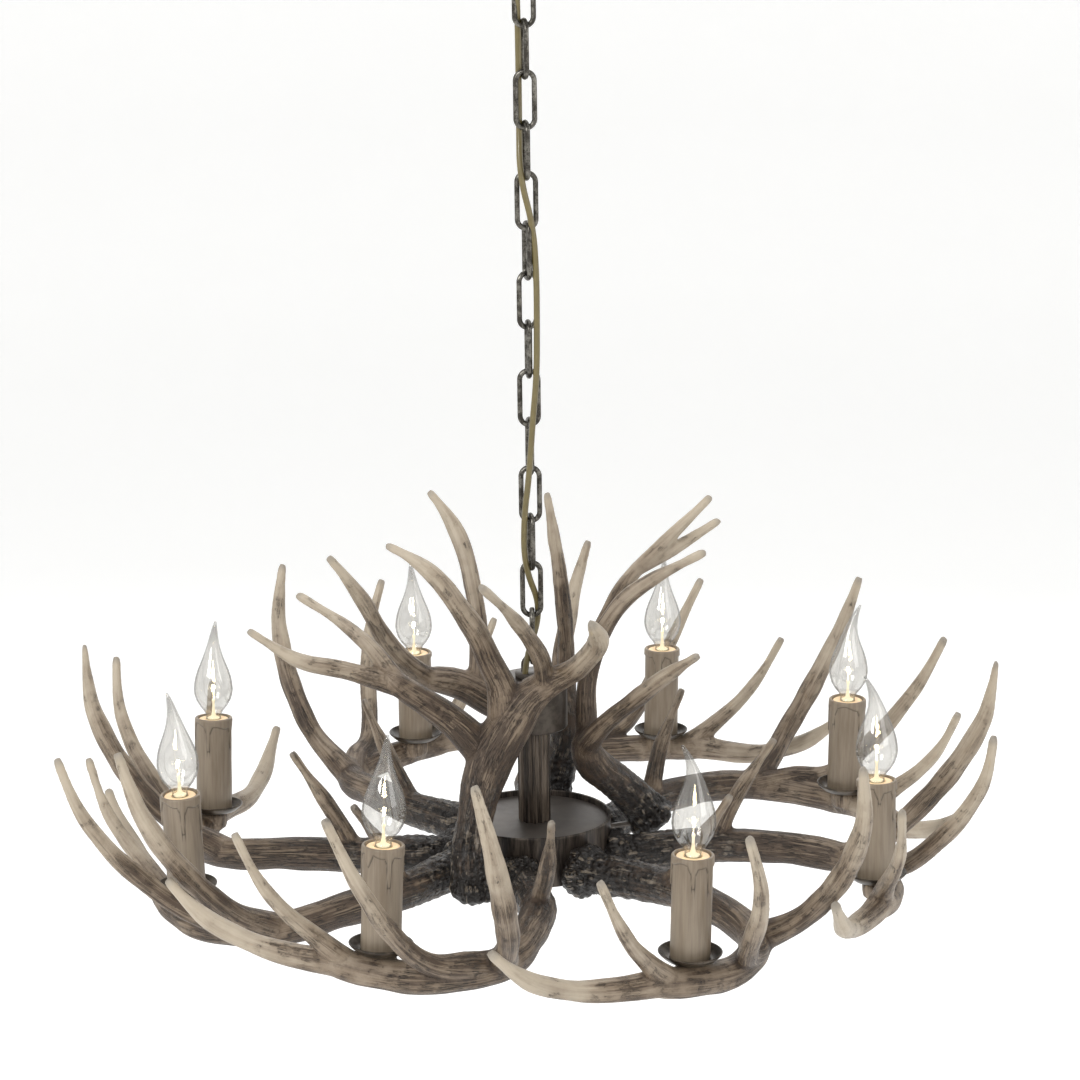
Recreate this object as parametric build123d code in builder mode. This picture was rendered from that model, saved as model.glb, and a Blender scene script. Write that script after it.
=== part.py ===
import os
from math import cos, pi, radians, sin, tan

from build123d import *

os.makedirs("parts", exist_ok=True)

# Antler chandelier, hung by a chain from the ceiling.
# Millimetres. The origin is on the ceiling, at the middle of the canopy, with +Z up.
# "Level" heights are measured from the plane that the eight candles stand on.

# Ceiling fixing
bracket_length = 100.0
bracket_width = 22.0
bracket_thick = 2.5
bracket_hole_spacing = 70.0
bracket_hole_radius = 2.3
canopy_radius = 60.0
canopy_depth = 28.0
canopy_wall = 1.2
nipple_radius = 5.0
nipple_bore = 3.6
nut_width = 15.0
nut_height = 5.0
thread_play = 0.05
rod_sides = 8

# Loops, chain and cord
collar_radius = 15.5
ceiling_collar_height = 6.0
hub_collar_height = 5.0
loop_wire = 2.5
loop_half_width = 7.6
ceiling_loop_drop = 22.3
hub_loop_rise = 10.9
link_wire = 2.25
link_pitch = 41.7
link_half_width = 7.75
link_count = 14
link_play = 0.3
cord_radius = 2.7
cord_sides = 6
cord_hole_play = 1.5
cord_hole_sides = 12
cord_tail = 2.0
top_cord_spot = (-7.0, -7.0)
hub_cord_spot = (-7.0, -7.0)

# Hub
can_radius = 29.5
can_sides = 18
can_height = 44.0
can_wall = 1.5
stem_radius = 14.0
stem_height = 85.0
flute_count = 12
flute_radius = 2.6
drum_radius = 66.5
drum_sides = 32
drum_height = 45.0
drum_wall = 2.0
washer_height = 8.0
terminal_size = (12.0, 22.0, 14.0)
cover_thick = 2.0
cover_recess = 5.0
cover_play = 0.1
spacer_radius = 8.0
floor_level = -25.0

# Candles
arm_count = 8
first_arm_angle = 112.5
candle_ring_radius = 313.0
pan_radius = 25.5
pan_floor_radius = 19.0
pan_height = 6.0
pan_wall = 1.5
candle_sides = 8
sleeve_radius = 16.0
sleeve_bore = 14.4
sleeve_height = 85.0
lip_radius = 17.2
lip_height = 7.0
holder_radius = 13.4
holder_height = 34.0
holder_top_gap = 1.0
holder_stem_radius = 5.0
holder_root = 9.0
cap_radius = 7.0
cap_length = 27.0
cap_play = 0.3
bulb_gap = 0.3
glass_length = 89.0
glass_radius = 17.5
glass_wall = 0.9

# Antlers
burr_radius = 22.0
beam_radius = 16.0
tine_tip = 2.8
screw_radius = 2.5
screw_head_radius = 5.0
screw_head_height = 3.0
screw_play = 0.1
cope_play = 0.2
arm_screw_bearing = 11.5
arm_screw_level = -10.0
arm_screw_depth = 26.0

# Each arm is bolted on by hand, a little off true:
# turn about the hub, lift of its outer end, roll about its own length (degrees), rise, reach (mm)
arm_settings = [
    (-1.0, 0.5, 0.0, -3.0, -1.0),
    (1.5, -0.5, 4.5, -7.0, -1.0),
    (-1.5, -2.0, -0.5, 6.0, 0.0),
    (0.0, 3.0, -1.5, -6.0, 3.0),
    (0.0, -0.5, -1.5, 3.0, 3.0),
    (-1.0, 1.0, -1.5, -3.0, -2.5),
    (2.5, -1.0, 0.5, 1.0, 0.0),
    (-0.5, -1.5, 0.5, 9.0, -1.5),
]

# Heights down the middle, from the ceiling to the candle plane
top_contact = -(canopy_depth + ceiling_collar_height + ceiling_loop_drop)
hub_contact = top_contact - link_count * link_pitch
cover_level = floor_level + drum_height - cover_recess
stem_top_level = cover_level + stem_height
can_top_level = stem_top_level + can_height
collar_top_level = can_top_level + hub_collar_height
contact_level = collar_top_level + hub_loop_rise
candle_plane = hub_contact - contact_level


def export(solid, name):
    solid.label = name
    export_step(solid, f"parts/{name}.step")


def level(height):
    return Plane.XY.offset(candle_plane + height)


# A closed skin of flat facets over rings of corners that run root to tip
def skin(rings):
    sides = len(rings[0])
    faces = [Face(Wire.make_polygon(rings[0])), Face(Wire.make_polygon(rings[-1]))]
    for lower, upper in zip(rings, rings[1:]):
        for side in range(sides):
            after = (side + 1) % sides
            faces.append(Face(Wire.make_polygon([lower[side], lower[after], upper[after]])))
            faces.append(Face(Wire.make_polygon([lower[side], upper[after], upper[side]])))
    return Solid(Shell(faces))


def corners(plane, radius, sides, lean=(0.0, 0.0)):
    ring_corners = []
    for side in range(sides):
        turn = 2 * pi * side / sides
        spot = Vector(radius * cos(turn) + lean[0], radius * sin(turn) + lean[1], 0)
        ring_corners.append(plane.from_local_coords(spot))
    return ring_corners


# A round bar, or the tool that bores its hole, in a few flats
def facet_rod(base, start, end, radius):
    return skin([corners(base.offset(start), radius, rod_sides), corners(base.offset(end), radius, rod_sides)])


# A tine through its points; its radius runs evenly between the radii given for them
def branch(points, radii, sides=5, steps=5, reference=(0, 0, 1)):
    with BuildLine() as centre:
        Spline(*points)
    centre_wire = centre.wires()[0]
    last = len(radii) - 1
    rings = []
    for step in range(steps + 1):
        share = step / steps
        whole = min(int(share * last), last - 1)
        radius = radii[whole] + (radii[whole + 1] - radii[whole]) * (share * last - whole)
        direction = centre_wire.tangent_at(share)
        across = direction.cross(Vector(*reference)).normalized()
        rings.append(corners(Plane(centre_wire.position_at(share), across, direction), radius, sides))
    add(skin(rings))


# A turned shape of flat facets through (height, radius) rings on an axis
def facet_turning(rings, sides, base, mode=Mode.ADD):
    add(skin([corners(base.offset(height), radius, sides) for height, radius in rings]), mode=mode)


# ---------------------------------------------------------------- ceiling fixing

with BuildPart() as bracket:
    with BuildSketch(Plane.XY.offset(-bracket_thick)):
        Rectangle(bracket_length, bracket_width)
        chamfer(vertices(), bracket_width * 0.3)
        with GridLocations(bracket_hole_spacing, 0, 2, 1):
            Circle(bracket_hole_radius, mode=Mode.SUBTRACT)
        RegularPolygon(nipple_radius + thread_play, rod_sides, mode=Mode.SUBTRACT)
    extrude(amount=bracket_thick)
export(bracket.part, "ceiling_bracket")

nipple_bottom = -(canopy_depth + ceiling_collar_height * 0.5)
with BuildPart() as nipple:
    with BuildSketch(Plane.XY.offset(nipple_bottom)):
        RegularPolygon(nipple_radius, rod_sides)
        RegularPolygon(nipple_bore, rod_sides, mode=Mode.SUBTRACT)
    extrude(amount=-nipple_bottom - 0.5)
export(nipple.part, "bracket_nipple")

with BuildPart() as nipple_nut:
    with BuildSketch(Plane.XY.offset(-bracket_thick - nut_height)):
        RegularPolygon(nut_width / 2, 6, major_radius=False)
        RegularPolygon(nipple_radius + thread_play, rod_sides, mode=Mode.SUBTRACT)
    extrude(amount=nut_height)
export(nipple_nut.part, "nipple_nut")

# The canopy is a spun dish: a flat crown, a sloping shoulder and a straight rim on the ceiling
canopy_crown_radius = canopy_radius * 0.45
canopy_rim_height = canopy_depth * 0.3
with BuildPart() as canopy:
    for inset, deeper in ((0.0, 0.0), (canopy_wall, canopy_wall)):
        rings = [
            (-canopy_depth + deeper, canopy_crown_radius - inset),
            (-canopy_rim_height, canopy_radius - inset),
            (0.0, canopy_radius - inset),
        ]
        facet_turning(rings, can_sides, Plane.XY, Mode.SUBTRACT if inset else Mode.ADD)
    with BuildSketch(Plane.XY.offset(-canopy_depth)):
        RegularPolygon(nipple_radius + thread_play, rod_sides)
        with Locations(top_cord_spot):
            RegularPolygon(cord_radius + cord_hole_play, cord_hole_sides)
    extrude(amount=canopy_wall * 2, mode=Mode.SUBTRACT)
export(canopy.part, "ceiling_canopy")


# ---------------------------------------------------------------- loops and chain

# Six-sided wire through points, each section on its point's mitre, with an edge on the inside
# and the outside of every bend
def wire_through(points, radius, side):
    rings = []
    for index, point in enumerate(points):
        out = (points[min(index + 1, len(points) - 1)] - points[min(index, len(points) - 2)]).normalized()
        into = (points[max(index, 1)] - points[max(index - 1, 0)]).normalized()
        direction = (into + out).normalized()
        mitre = 1 / direction.dot(out)
        plane = Plane(point, side, direction)
        section = []
        for turn in range(30, 390, 60):
            spot = Vector(radius * cos(radians(turn)), radius * mitre * sin(radians(turn)), 0)
            section.append(plane.from_local_coords(spot))
        rings.append(section)
    add(skin(rings))


# The middle line of a bow: two legs and the half ring that joins them, drawn in three straights
# that lie outside its arc
def bow(leg, straight, foot, end=1):
    corner = leg * tan(pi / 8)
    bends = [(leg, straight + corner), (corner, straight + leg), (-corner, straight + leg), (-leg, straight + corner)]
    return [(x, 0, end * z) for x, z in [(leg, foot), *bends, (-leg, foot)]]


# A bow of wire standing on a flat collar; the frame lies on the collar's face, and its X runs
# along the bar that the next link bears on. The collar is tapped for the nipple or the rod, and
# the cord goes through it beside them.
def collar_loop(frame, collar_height, bar_height, cord_place):
    facet_turning([(-collar_height, collar_radius), (0, collar_radius)], can_sides, frame)
    points = bow(loop_half_width, bar_height + loop_wire - loop_half_width, -1)
    wire_through([frame.from_local_coords(Vector(*point)) for point in points], loop_wire, frame.y_dir)
    add(facet_rod(frame, -collar_height, -collar_height * 0.4, nipple_radius + thread_play), mode=Mode.SUBTRACT)
    with BuildSketch(Plane((*cord_place, frame.origin.Z))) as cord_hole:
        RegularPolygon(cord_radius + cord_hole_play, cord_hole_sides)
    add(extrude(cord_hole.sketch, collar_height + 1, both=True), mode=Mode.SUBTRACT)


with BuildPart() as canopy_loop:
    hanging = Plane((0, 0, -canopy_depth - ceiling_collar_height), (0, 1, 0), (0, 0, -1))
    collar_loop(hanging, ceiling_collar_height, ceiling_loop_drop, top_cord_spot)
export(canopy_loop.part, "canopy_loop")


# One link: two bows of wire joined at the middle of the legs, bearing on its neighbours at
# heights one pitch apart
def chain_link(middle_height, turn):
    frame = Plane((0, 0, middle_height), (cos(radians(turn)), sin(radians(turn)), 0), (0, 0, 1))
    straight = link_pitch / 2 + link_play / 2 + link_wire - link_half_width
    for end in (1, -1):
        points = bow(link_half_width, straight, 0, end)
        wire_through([frame.from_local_coords(Vector(*point)) for point in points], link_wire, frame.y_dir)


def link_middle(number):
    return hub_contact + (number - 0.5) * link_pitch


# Links are counted from the hub up; odd ones stand edge-on to the front, and the chain is
# twisted a little half way up
chain_twist = {7: 8.0, 8: 24.0, 9: 16.0, 10: 4.0}

with BuildPart() as chain:
    for number in range(1, link_count + 1):
        chain_link(link_middle(number), 90.0 * (number % 2) + chain_twist.get(number, 0.0))
export(chain.part, "chain_links")

# The supply cord is threaded down the chain, one point at each place where two links bear.
# It runs down the front on the left, comes out on the right half way, lies over the front and
# goes back through the two lowest links.
cord_spots = [
    (-6.0, -6.0),
    (-5.6, -5.8),
    (-5.8, -5.6),
    (-5.6, -5.9),
    (-7.2, -6.4),
    (8.6, -6.4),
    (8.8, -6.4),
    (7.6, -7.2),
    (6.8, -9.4),
    (1.5, -13.6),
    (-3.2, -13.0),
    (-7.2, -6.4),
    (-7.8, -7.2),
    (9.0, 8.6),
]
cord_top = (*top_cord_spot, -canopy_depth + canopy_wall + cord_tail)
cord_bottom = (*hub_cord_spot, candle_plane + can_top_level - can_wall - cord_tail)
cord_points = [cord_top]
for number, spot in enumerate(cord_spots):
    cord_points.append((*spot, top_contact - number * link_pitch))
cord_points += [(-6.8, -6.8, hub_contact), cord_bottom]


def corner_radius(before, corner, after):
    into = Vector(*corner) - Vector(*before)
    out = Vector(*after) - Vector(*corner)
    half_turn = radians(max(into.get_angle(out), 0.5) / 2)
    return 0.45 * min(into.length, out.length) * cos(half_turn) / sin(half_turn)


cord_radii = []
for index in range(1, len(cord_points) - 1):
    cord_radii.append(corner_radius(*cord_points[index - 1:index + 2]))
print("cord corner radii", [round(radius) for radius in cord_radii])

with BuildPart() as cord:
    with BuildLine() as cord_line:
        FilletPolyline(*cord_points, radius=cord_radii)
    with BuildSketch(Plane(cord_line.line @ 0, z_dir=cord_line.line % 0)) as cord_section:
        RegularPolygon(cord_radius, cord_sides)
    sweep()
cord_length = cord_line.wires()[0].length
cord_volume = cord_section.sketch.area * cord_length
print("cord length", round(cord_length), "volume share", round(cord.part.volume / cord_volume, 4))
export(cord.part, "supply_cord")


# ---------------------------------------------------------------- hub

collar_plane = level(collar_top_level)
with BuildPart() as hub_loop:
    collar_loop(collar_plane, hub_collar_height, hub_loop_rise, hub_cord_spot)
export(hub_loop.part, "hub_loop")

with BuildPart() as can_lid:
    with BuildSketch(level(can_top_level - can_wall)):
        RegularPolygon(can_radius, can_sides)
        RegularPolygon(nipple_radius + thread_play, rod_sides, mode=Mode.SUBTRACT)
        with Locations(hub_cord_spot):
            RegularPolygon(cord_radius + cord_hole_play, cord_hole_sides, mode=Mode.SUBTRACT)
    extrude(amount=can_wall)
export(can_lid.part, "can_lid")

with BuildPart() as upper_can:
    with BuildSketch(level(stem_top_level)):
        RegularPolygon(can_radius, can_sides)
    extrude(amount=can_height - can_wall)
    with BuildSketch(level(stem_top_level + can_wall)):
        RegularPolygon(can_radius - can_wall, can_sides)
    extrude(amount=can_height, mode=Mode.SUBTRACT)
    with BuildSketch(level(stem_top_level)):
        RegularPolygon(nipple_radius + thread_play, rod_sides)
    extrude(amount=can_wall, mode=Mode.SUBTRACT)
export(upper_can.part, "upper_can")

with BuildPart() as terminal_block:
    length, width, height = terminal_size
    with BuildSketch(level(stem_top_level + can_wall)):
        with Locations(((nipple_radius + can_radius) / 2, 0)):
            Rectangle(length, width)
    extrude(amount=height)
    with BuildSketch(level(stem_top_level + can_wall + height)):
        with Locations(((nipple_radius + can_radius) / 2, 0)):
            with GridLocations(0, width / 3, 1, 3):
                Rectangle(length / 2.5, length / 2.5)
    extrude(amount=-height / 2, mode=Mode.SUBTRACT)
export(terminal_block.part, "terminal_block")

with BuildPart() as fluted_stem:
    with BuildSketch(level(cover_level)):
        RegularPolygon(stem_radius, flute_count * 2)
        with PolarLocations(stem_radius + flute_radius * 0.3, flute_count):
            RegularPolygon(flute_radius, 8, mode=Mode.SUBTRACT)
        RegularPolygon(nipple_radius + thread_play, rod_sides, mode=Mode.SUBTRACT)
    extrude(amount=stem_height)
export(fluted_stem.part, "fluted_stem")

rod_bottom = floor_level - washer_height * 0.8
rod_top = can_top_level + hub_collar_height * 0.5
with BuildPart() as center_rod:
    with BuildSketch(level(rod_bottom)):
        RegularPolygon(nipple_radius, rod_sides)
        RegularPolygon(nipple_bore, rod_sides, mode=Mode.SUBTRACT)
    extrude(amount=rod_top - rod_bottom)
export(center_rod.part, "center_rod")

with BuildPart() as drum_spacer:
    with BuildSketch(level(floor_level + drum_wall)):
        RegularPolygon(spacer_radius, rod_sides)
        RegularPolygon(nipple_radius + thread_play, rod_sides, mode=Mode.SUBTRACT)
    extrude(amount=cover_level - cover_thick - floor_level - drum_wall)
export(drum_spacer.part, "drum_spacer")

with BuildPart() as drum_cover:
    with BuildSketch(level(cover_level - cover_thick)):
        RegularPolygon(drum_radius - drum_wall - cover_play, drum_sides)
        RegularPolygon(nipple_radius + thread_play, rod_sides, mode=Mode.SUBTRACT)
    extrude(amount=cover_thick)
export(drum_cover.part, "drum_cover")

# The finial nut is turned: a washer face, a ball and a small knob below
with BuildPart() as bottom_nut:
    rings = [
        (floor_level, spacer_radius * 1.6),
        (floor_level - washer_height * 0.4, spacer_radius * 1.6),
        (floor_level - washer_height, spacer_radius),
        (floor_level - washer_height * 1.5, spacer_radius * 0.45),
    ]
    facet_turning(rings, 16, level(0))
    with BuildSketch(level(floor_level)):
        RegularPolygon(nipple_radius + thread_play, rod_sides)
    extrude(amount=-washer_height * 0.9, mode=Mode.SUBTRACT)
export(bottom_nut.part, "bottom_nut")


# ---------------------------------------------------------------- antlers

# Where an arm's own frame stands: its X runs out from the hub, through the middle of its candle
def arm_place(number):
    turn, lift, roll, rise, reach = arm_settings[number - 1]
    bearing = first_arm_angle + (number - 1) * 360 / arm_count + turn
    swung = Location((0, 0, candle_plane), (0, 0, bearing))
    return swung * Location((reach, 0, rise)) * Location((0, 0, 0), (0, -lift, 0)) * Location((0, 0, 0), (roll, 0, 0))


# Lag screws hold the antlers from inside the drum: their bearing, level and length in the antler
screw_spots = []
for number in range(1, arm_count + 1):
    bearing = first_arm_angle + (number - 1) * 360 / arm_count + arm_settings[number - 1][0]
    screw_spots.append((bearing + arm_screw_bearing, arm_screw_level, arm_screw_depth))
upper_screw_spots = [(244.0, -8.0, 48.0), (20.0, -1.0, 44.0), (81.6, 3.0, 34.0)]
screw_spots += upper_screw_spots
screw_start = drum_radius - drum_wall - 0.4


def wall_plane(bearing, height, start):
    facing = Vector(cos(radians(bearing)), sin(radians(bearing)), 0)
    return Plane(facing * start + Vector(0, 0, candle_plane + height), z_dir=facing)


def lag_screw(bearing, height, depth):
    with BuildPart() as screw:
        with BuildSketch(wall_plane(bearing, height, screw_start - screw_head_height)):
            RegularPolygon(screw_head_radius, 6)
        extrude(amount=screw_head_height)
        with BuildSketch(wall_plane(bearing, height, screw_start)):
            RegularPolygon(screw_radius, 6)
        extrude(amount=depth + drum_wall)
    return screw.part


def screw_drill(bearing, height, depth):
    with BuildPart() as drill:
        with BuildSketch(wall_plane(bearing, height, screw_start)):
            RegularPolygon(screw_radius + screw_play, 6)
        extrude(amount=depth + drum_wall + 1)
    return drill.part


with BuildPart() as antler_screws:
    for spot in screw_spots:
        add(lag_screw(*spot))
export(antler_screws.part, "antler_screws")

with BuildPart() as all_drills:
    for spot in screw_spots:
        add(screw_drill(*spot))

with BuildPart() as drum:
    with BuildSketch(level(floor_level)):
        RegularPolygon(drum_radius, drum_sides)
    extrude(amount=drum_height)
    with BuildSketch(level(floor_level + drum_wall)):
        RegularPolygon(drum_radius - drum_wall, drum_sides)
    extrude(amount=drum_height, mode=Mode.SUBTRACT)
    with BuildSketch(level(floor_level)):
        RegularPolygon(nipple_radius + thread_play, rod_sides)
    extrude(amount=drum_wall, mode=Mode.SUBTRACT)
    add(all_drills.part, mode=Mode.SUBTRACT)
export(drum.part, "drum")

# One mould makes all eight lower antlers, as the photo shows: a beam that swings out, passes
# under the candle and ends in a curl, and four tines
ring = candle_ring_radius
burr_start = drum_radius - 2
joint_point = (ring + 1, 30, -19)
with BuildPart() as lower_mould:
    beam_points = [
        (burr_start + 7.5, 15, -14),
        (ring * 0.473, 65, -10),
        (ring * 0.66, 80, -11),
        (ring - 49, 81, -16),
        joint_point,
        (ring + 13, -35, -13),
    ]
    branch(beam_points, (17.5, 15.5, 14.5, 13.5, 13, 12), 6, 8)
    branch([(ring + 13, -33, -13), (ring + 11, -90, -12), (ring + 18, -146, 8), (ring + 22, -178, 36)], (11.5, 8.8, 7.6, tine_tip), 5, 4)
    branch([(ring - 42, 76, -15), (ring + 13, 44, 0), (ring + 77, 21, 68), (ring + 100, -3, 132)], (11, 9, 7, tine_tip), 5, 4)
    branch([(ring - 46, 84, -14), (ring - 3, 106, 22), (ring + 52, 117, 97), (ring + 73, 106, 166)], (12, 9.8, 8.6, tine_tip), 5, 4)
    branch([(ring + 13, -33, -13), (ring + 43, -77, 45), (ring + 53, -103, 94)], (9, 6, tine_tip), 5, 3)
    branch([(ring * 0.466, 62, -10), (ring * 0.533, 80, 42), (ring * 0.613, 92, 84)], (8.8, 6.6, tine_tip), 5, 3)
    # the burr, a knobbly collar where the antler met the skull
    burr_plane = Plane((burr_start + 9, 16, -14), z_dir=(cos(radians(25)), sin(radians(25)), 0))
    facet_turning([(-12, burr_radius), (4, burr_radius), (11, beam_radius)], 8, burr_plane)
    # the seat under the candle's pan
    with BuildSketch(Plane.XY.offset(-20)):
        with Locations((ring, 0)):
            RegularPolygon(12, 6)
    extrude(amount=20 - pan_wall)

with BuildPart() as candle_drill:
    with BuildSketch(Plane.XY.offset(-holder_root)):
        with Locations((ring, 0)):
            RegularPolygon(holder_stem_radius + thread_play, rod_sides)
    extrude(amount=holder_root + 20)

with BuildPart() as drum_core:
    with BuildSketch(level(floor_level - 60)):
        RegularPolygon(drum_radius + cope_play, drum_sides)
    extrude(amount=drum_height + 80)

lower_antlers = []
for number in range(1, arm_count + 1):
    place = arm_place(number)
    with BuildPart() as lower_antler:
        add(lower_mould.part.moved(place))
        add(drum_core.part, mode=Mode.SUBTRACT)
        add(all_drills.part, mode=Mode.SUBTRACT)
        add(candle_drill.part.moved(place), mode=Mode.SUBTRACT)
    lower_antlers.append(lower_antler.part)
    export(lower_antler.part, f"lower_antler_{number}")

# The three upper antlers stand up round the stem. Each is written as its branches: the points
# from root to tip, with heights over the candle plane, and the radii along them.
upper_front = [
    ([(-50, -102, -16), (-53, -90, 24), (-51, -75, 58), (-50, -62, 88)], (17, 15, 14.5, 13)),
    ([(-50, -62, 82), (-74, -60, 128), (-105, -65, 152), (-118, -65, 163)], (11.5, 10.5, 9.8, 9)),
    ([(-114, -65, 160), (-144, -40, 191), (-200, -18, 225)], (8.5, 7, 2.5)),
    ([(-112, -65, 158), (-162, -60, 170), (-195, -65, 180), (-238, -68, 208)], (9, 8.2, 7, 2.5)),
    ([(-48, -62, 86), (-11, -60, 111), (14, -60, 141), (35, -80, 171), (54, -110, 199), (43, -150, 235)], (13, 14, 14, 13, 11.5, 5)),
    ([(-6, -60, 112), (-22, -62, 138), (-34, -65, 168), (-44, -70, 201), (-59, -75, 225), (-84, -75, 258), (-121, -65, 279)], (13, 12, 11.5, 10.5, 9.5, 7.5, 2.5)),
    ([(22, -68, 160), (15, -72, 178), (-10, -100, 218), (-41, -155, 266)], (8, 7, 6.3, 2.5)),
]
upper_right = [
    ([(105, 38, 0), (75, 25, 37), (49, 0, 68), (44, -8, 92)], (18, 16, 15, 12)),
    ([(44, -6, 80), (57, -30, 106), (86, -60, 140), (111, -85, 168), (137, -110, 193)], (11, 9, 8, 7, 2.5)),
    ([(44, -6, 84), (46, 0, 104), (47, 10, 137), (57, 15, 174)], (11, 9.6, 9, 8.6)),
    ([(54, 14, 168), (76, 15, 203), (104, 20, 224), (151, 40, 243)], (8, 7.4, 6.6, 2.5)),
    ([(53, 16, 166), (74, 45, 202), (96, 66, 226)], (8, 7.5, 7)),
    ([(92, 63, 222), (124, 80, 249), (159, 90, 281)], (7, 6, 2.5)),
    ([(92, 63, 222), (131, 85, 238), (167, 100, 257)], (7, 6, 2.5)),
]
upper_back = [
    ([(13, 95, 9), (24, 92, 40), (30, 86, 70), (29, 80, 102)], (17, 16, 14.5, 13)),
    ([(29, 82, 90), (30, 80, 145), (27, 80, 191), (22, 80, 236), (14, 80, 289)], (10, 8, 7.2, 6.5, 2.5)),
    ([(26, 84, 84), (-30, 80, 95), (-61, 80, 113), (-94, 79, 121)], (14, 15, 14, 11)),
    ([(-88, 80, 118), (-124, 60, 154), (-148, 50, 201), (-177, 45, 242)], (10, 8.7, 7.4, 2.5)),
    ([(-50, 80, 110), (-48, 100, 150), (-54, 120, 199), (-70, 140, 245), (-92, 150, 275)], (10, 9, 8.2, 7.5, 2.5)),
]

# An upper antler's foot is coped to what it stands against: the drum and the antlers below it
for name, branches, burr_turn, neighbours in (
    ("upper_antler_front", upper_front, (0, 0.1, 1), (4, 5)),
    ("upper_antler_right", upper_right, (-0.6, -0.2, 0.75), (7, 6)),
    ("upper_antler_back", upper_back, (0.2, -0.1, 1), (8, 1, 7)),
):
    with BuildPart() as upper_antler:
        for points, radii in branches:
            lifted = [(x, y, z + candle_plane) for x, y, z in points]
            branch(lifted, radii, 6 if radii[0] > 12 else 5, len(points), (1, 0.3, 0))
        foot = Plane((*branches[0][0][0][:2], branches[0][0][0][2] + candle_plane), z_dir=burr_turn)
        facet_turning([(-5, burr_radius - 1), (6, burr_radius), (13, beam_radius)], 8, foot)
        add(drum_core.part, mode=Mode.SUBTRACT)
        for number in neighbours:
            add(lower_antlers[number - 1], mode=Mode.SUBTRACT)
        add(all_drills.part, mode=Mode.SUBTRACT)
    print(name, len(upper_antler.part.solids()), "solids")
    export(upper_antler.part, name)


# ---------------------------------------------------------------- candles

# Everything here is made once at the end of an arm lying true, then moved to each arm's place
candle = Plane((ring, 0, 0))

with BuildPart() as drip_pan:
    rings = [(-pan_wall, pan_floor_radius), (pan_height - pan_wall, pan_radius)]
    facet_turning(rings, candle_sides, candle)
    hollow = [(0.0, pan_floor_radius - pan_wall), (pan_height, pan_radius)]
    facet_turning(hollow, candle_sides, candle, Mode.SUBTRACT)
    with BuildSketch(candle.offset(-pan_wall)):
        RegularPolygon(holder_stem_radius + thread_play, rod_sides)
    extrude(amount=pan_wall, mode=Mode.SUBTRACT)

# The sleeve is a card tube with a rolled lip that hangs in drips
with BuildPart() as sleeve:
    facet_turning([(0.0, sleeve_radius), (sleeve_height, sleeve_radius)], candle_sides, candle)
    lip = [
        (sleeve_height - lip_height * 2, sleeve_radius - 0.5),
        (sleeve_height - lip_height, lip_radius),
        (sleeve_height, lip_radius),
    ]
    facet_turning(lip, candle_sides, candle)
    with BuildSketch(candle):
        RegularPolygon(sleeve_bore, candle_sides)
    extrude(amount=sleeve_height, mode=Mode.SUBTRACT)

holder_top = sleeve_height - holder_top_gap
cap_bottom = holder_top - cap_length
with BuildPart() as lampholder:
    with BuildSketch(candle.offset(-holder_root)):
        RegularPolygon(holder_stem_radius, rod_sides)
    extrude(amount=holder_root + holder_top - holder_height)
    with BuildSketch(candle.offset(holder_top - holder_height)):
        RegularPolygon(holder_radius, candle_sides)
    extrude(amount=holder_height)
    with BuildSketch(candle.offset(cap_bottom - bulb_gap)):
        RegularPolygon(cap_radius + cap_play, rod_sides)
    extrude(amount=cap_length + bulb_gap, mode=Mode.SUBTRACT)

# The bulb's cap carries a glass stem, which holds the filament inside the clear bent-tip glass
with BuildPart() as bulb_base:
    with BuildSketch(candle.offset(cap_bottom)):
        RegularPolygon(cap_radius, rod_sides)
    extrude(amount=cap_length)
    facet_turning([(holder_top, cap_radius * 0.4), (holder_top + glass_length * 0.3, cap_radius * 0.2)], 6, candle)

glass_rings = [
    (0.0, 0.37, 0.0),
    (0.15, 0.8, 0.0),
    (0.3, 1.0, 0.0),
    (0.43, 0.91, 0.0),
    (0.57, 0.66, 0.0),
    (0.74, 0.36, 1.0),
    (0.88, 0.2, 4.5),
    (1.0, 0.06, 10.5),
]


def bulb_glass(bend):
    with BuildPart() as glass:
        for shape, inset, mode in ((glass_rings, 0.0, Mode.ADD), (glass_rings[:-2], glass_wall, Mode.SUBTRACT)):
            rings = []
            for share, width, lean in shape:
                plane = candle.offset(holder_top + share * glass_length)
                rings.append(corners(plane, width * glass_radius - inset, candle_sides, (lean * cos(bend), lean * sin(bend))))
            add(skin(rings), mode=mode)
    return glass.part


with BuildPart() as drip_pans:
    for number in range(1, arm_count + 1):
        add(drip_pan.part.moved(arm_place(number)))
export(drip_pans.part, "drip_pans")

with BuildPart() as lampholders:
    for number in range(1, arm_count + 1):
        add(lampholder.part.moved(arm_place(number)))
export(lampholders.part, "lampholders")

# The tips of bulbs 2 and 7 bend to the right of the picture and the others to the left
right_bent = (2, 7)
for number in range(1, arm_count + 1):
    place = arm_place(number)
    bearing = radians(first_arm_angle + (number - 1) * 360 / arm_count)
    bend = -bearing if number in right_bent else pi - bearing
    export(sleeve.part.moved(place), f"candle_sleeve_{number}")
    export(bulb_base.part.moved(place), f"bulb_base_{number}")
    export(bulb_glass(bend).moved(place), f"bulb_glass_{number}")

print("candle plane at", round(candle_plane, 1), "top contact", round(top_contact, 1), "hub contact", round(hub_contact, 1))
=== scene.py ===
import math

import bmesh
import bpy
import numpy as np
from mathutils import Matrix, Vector, noise
from mathutils.kdtree import KDTree


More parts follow.
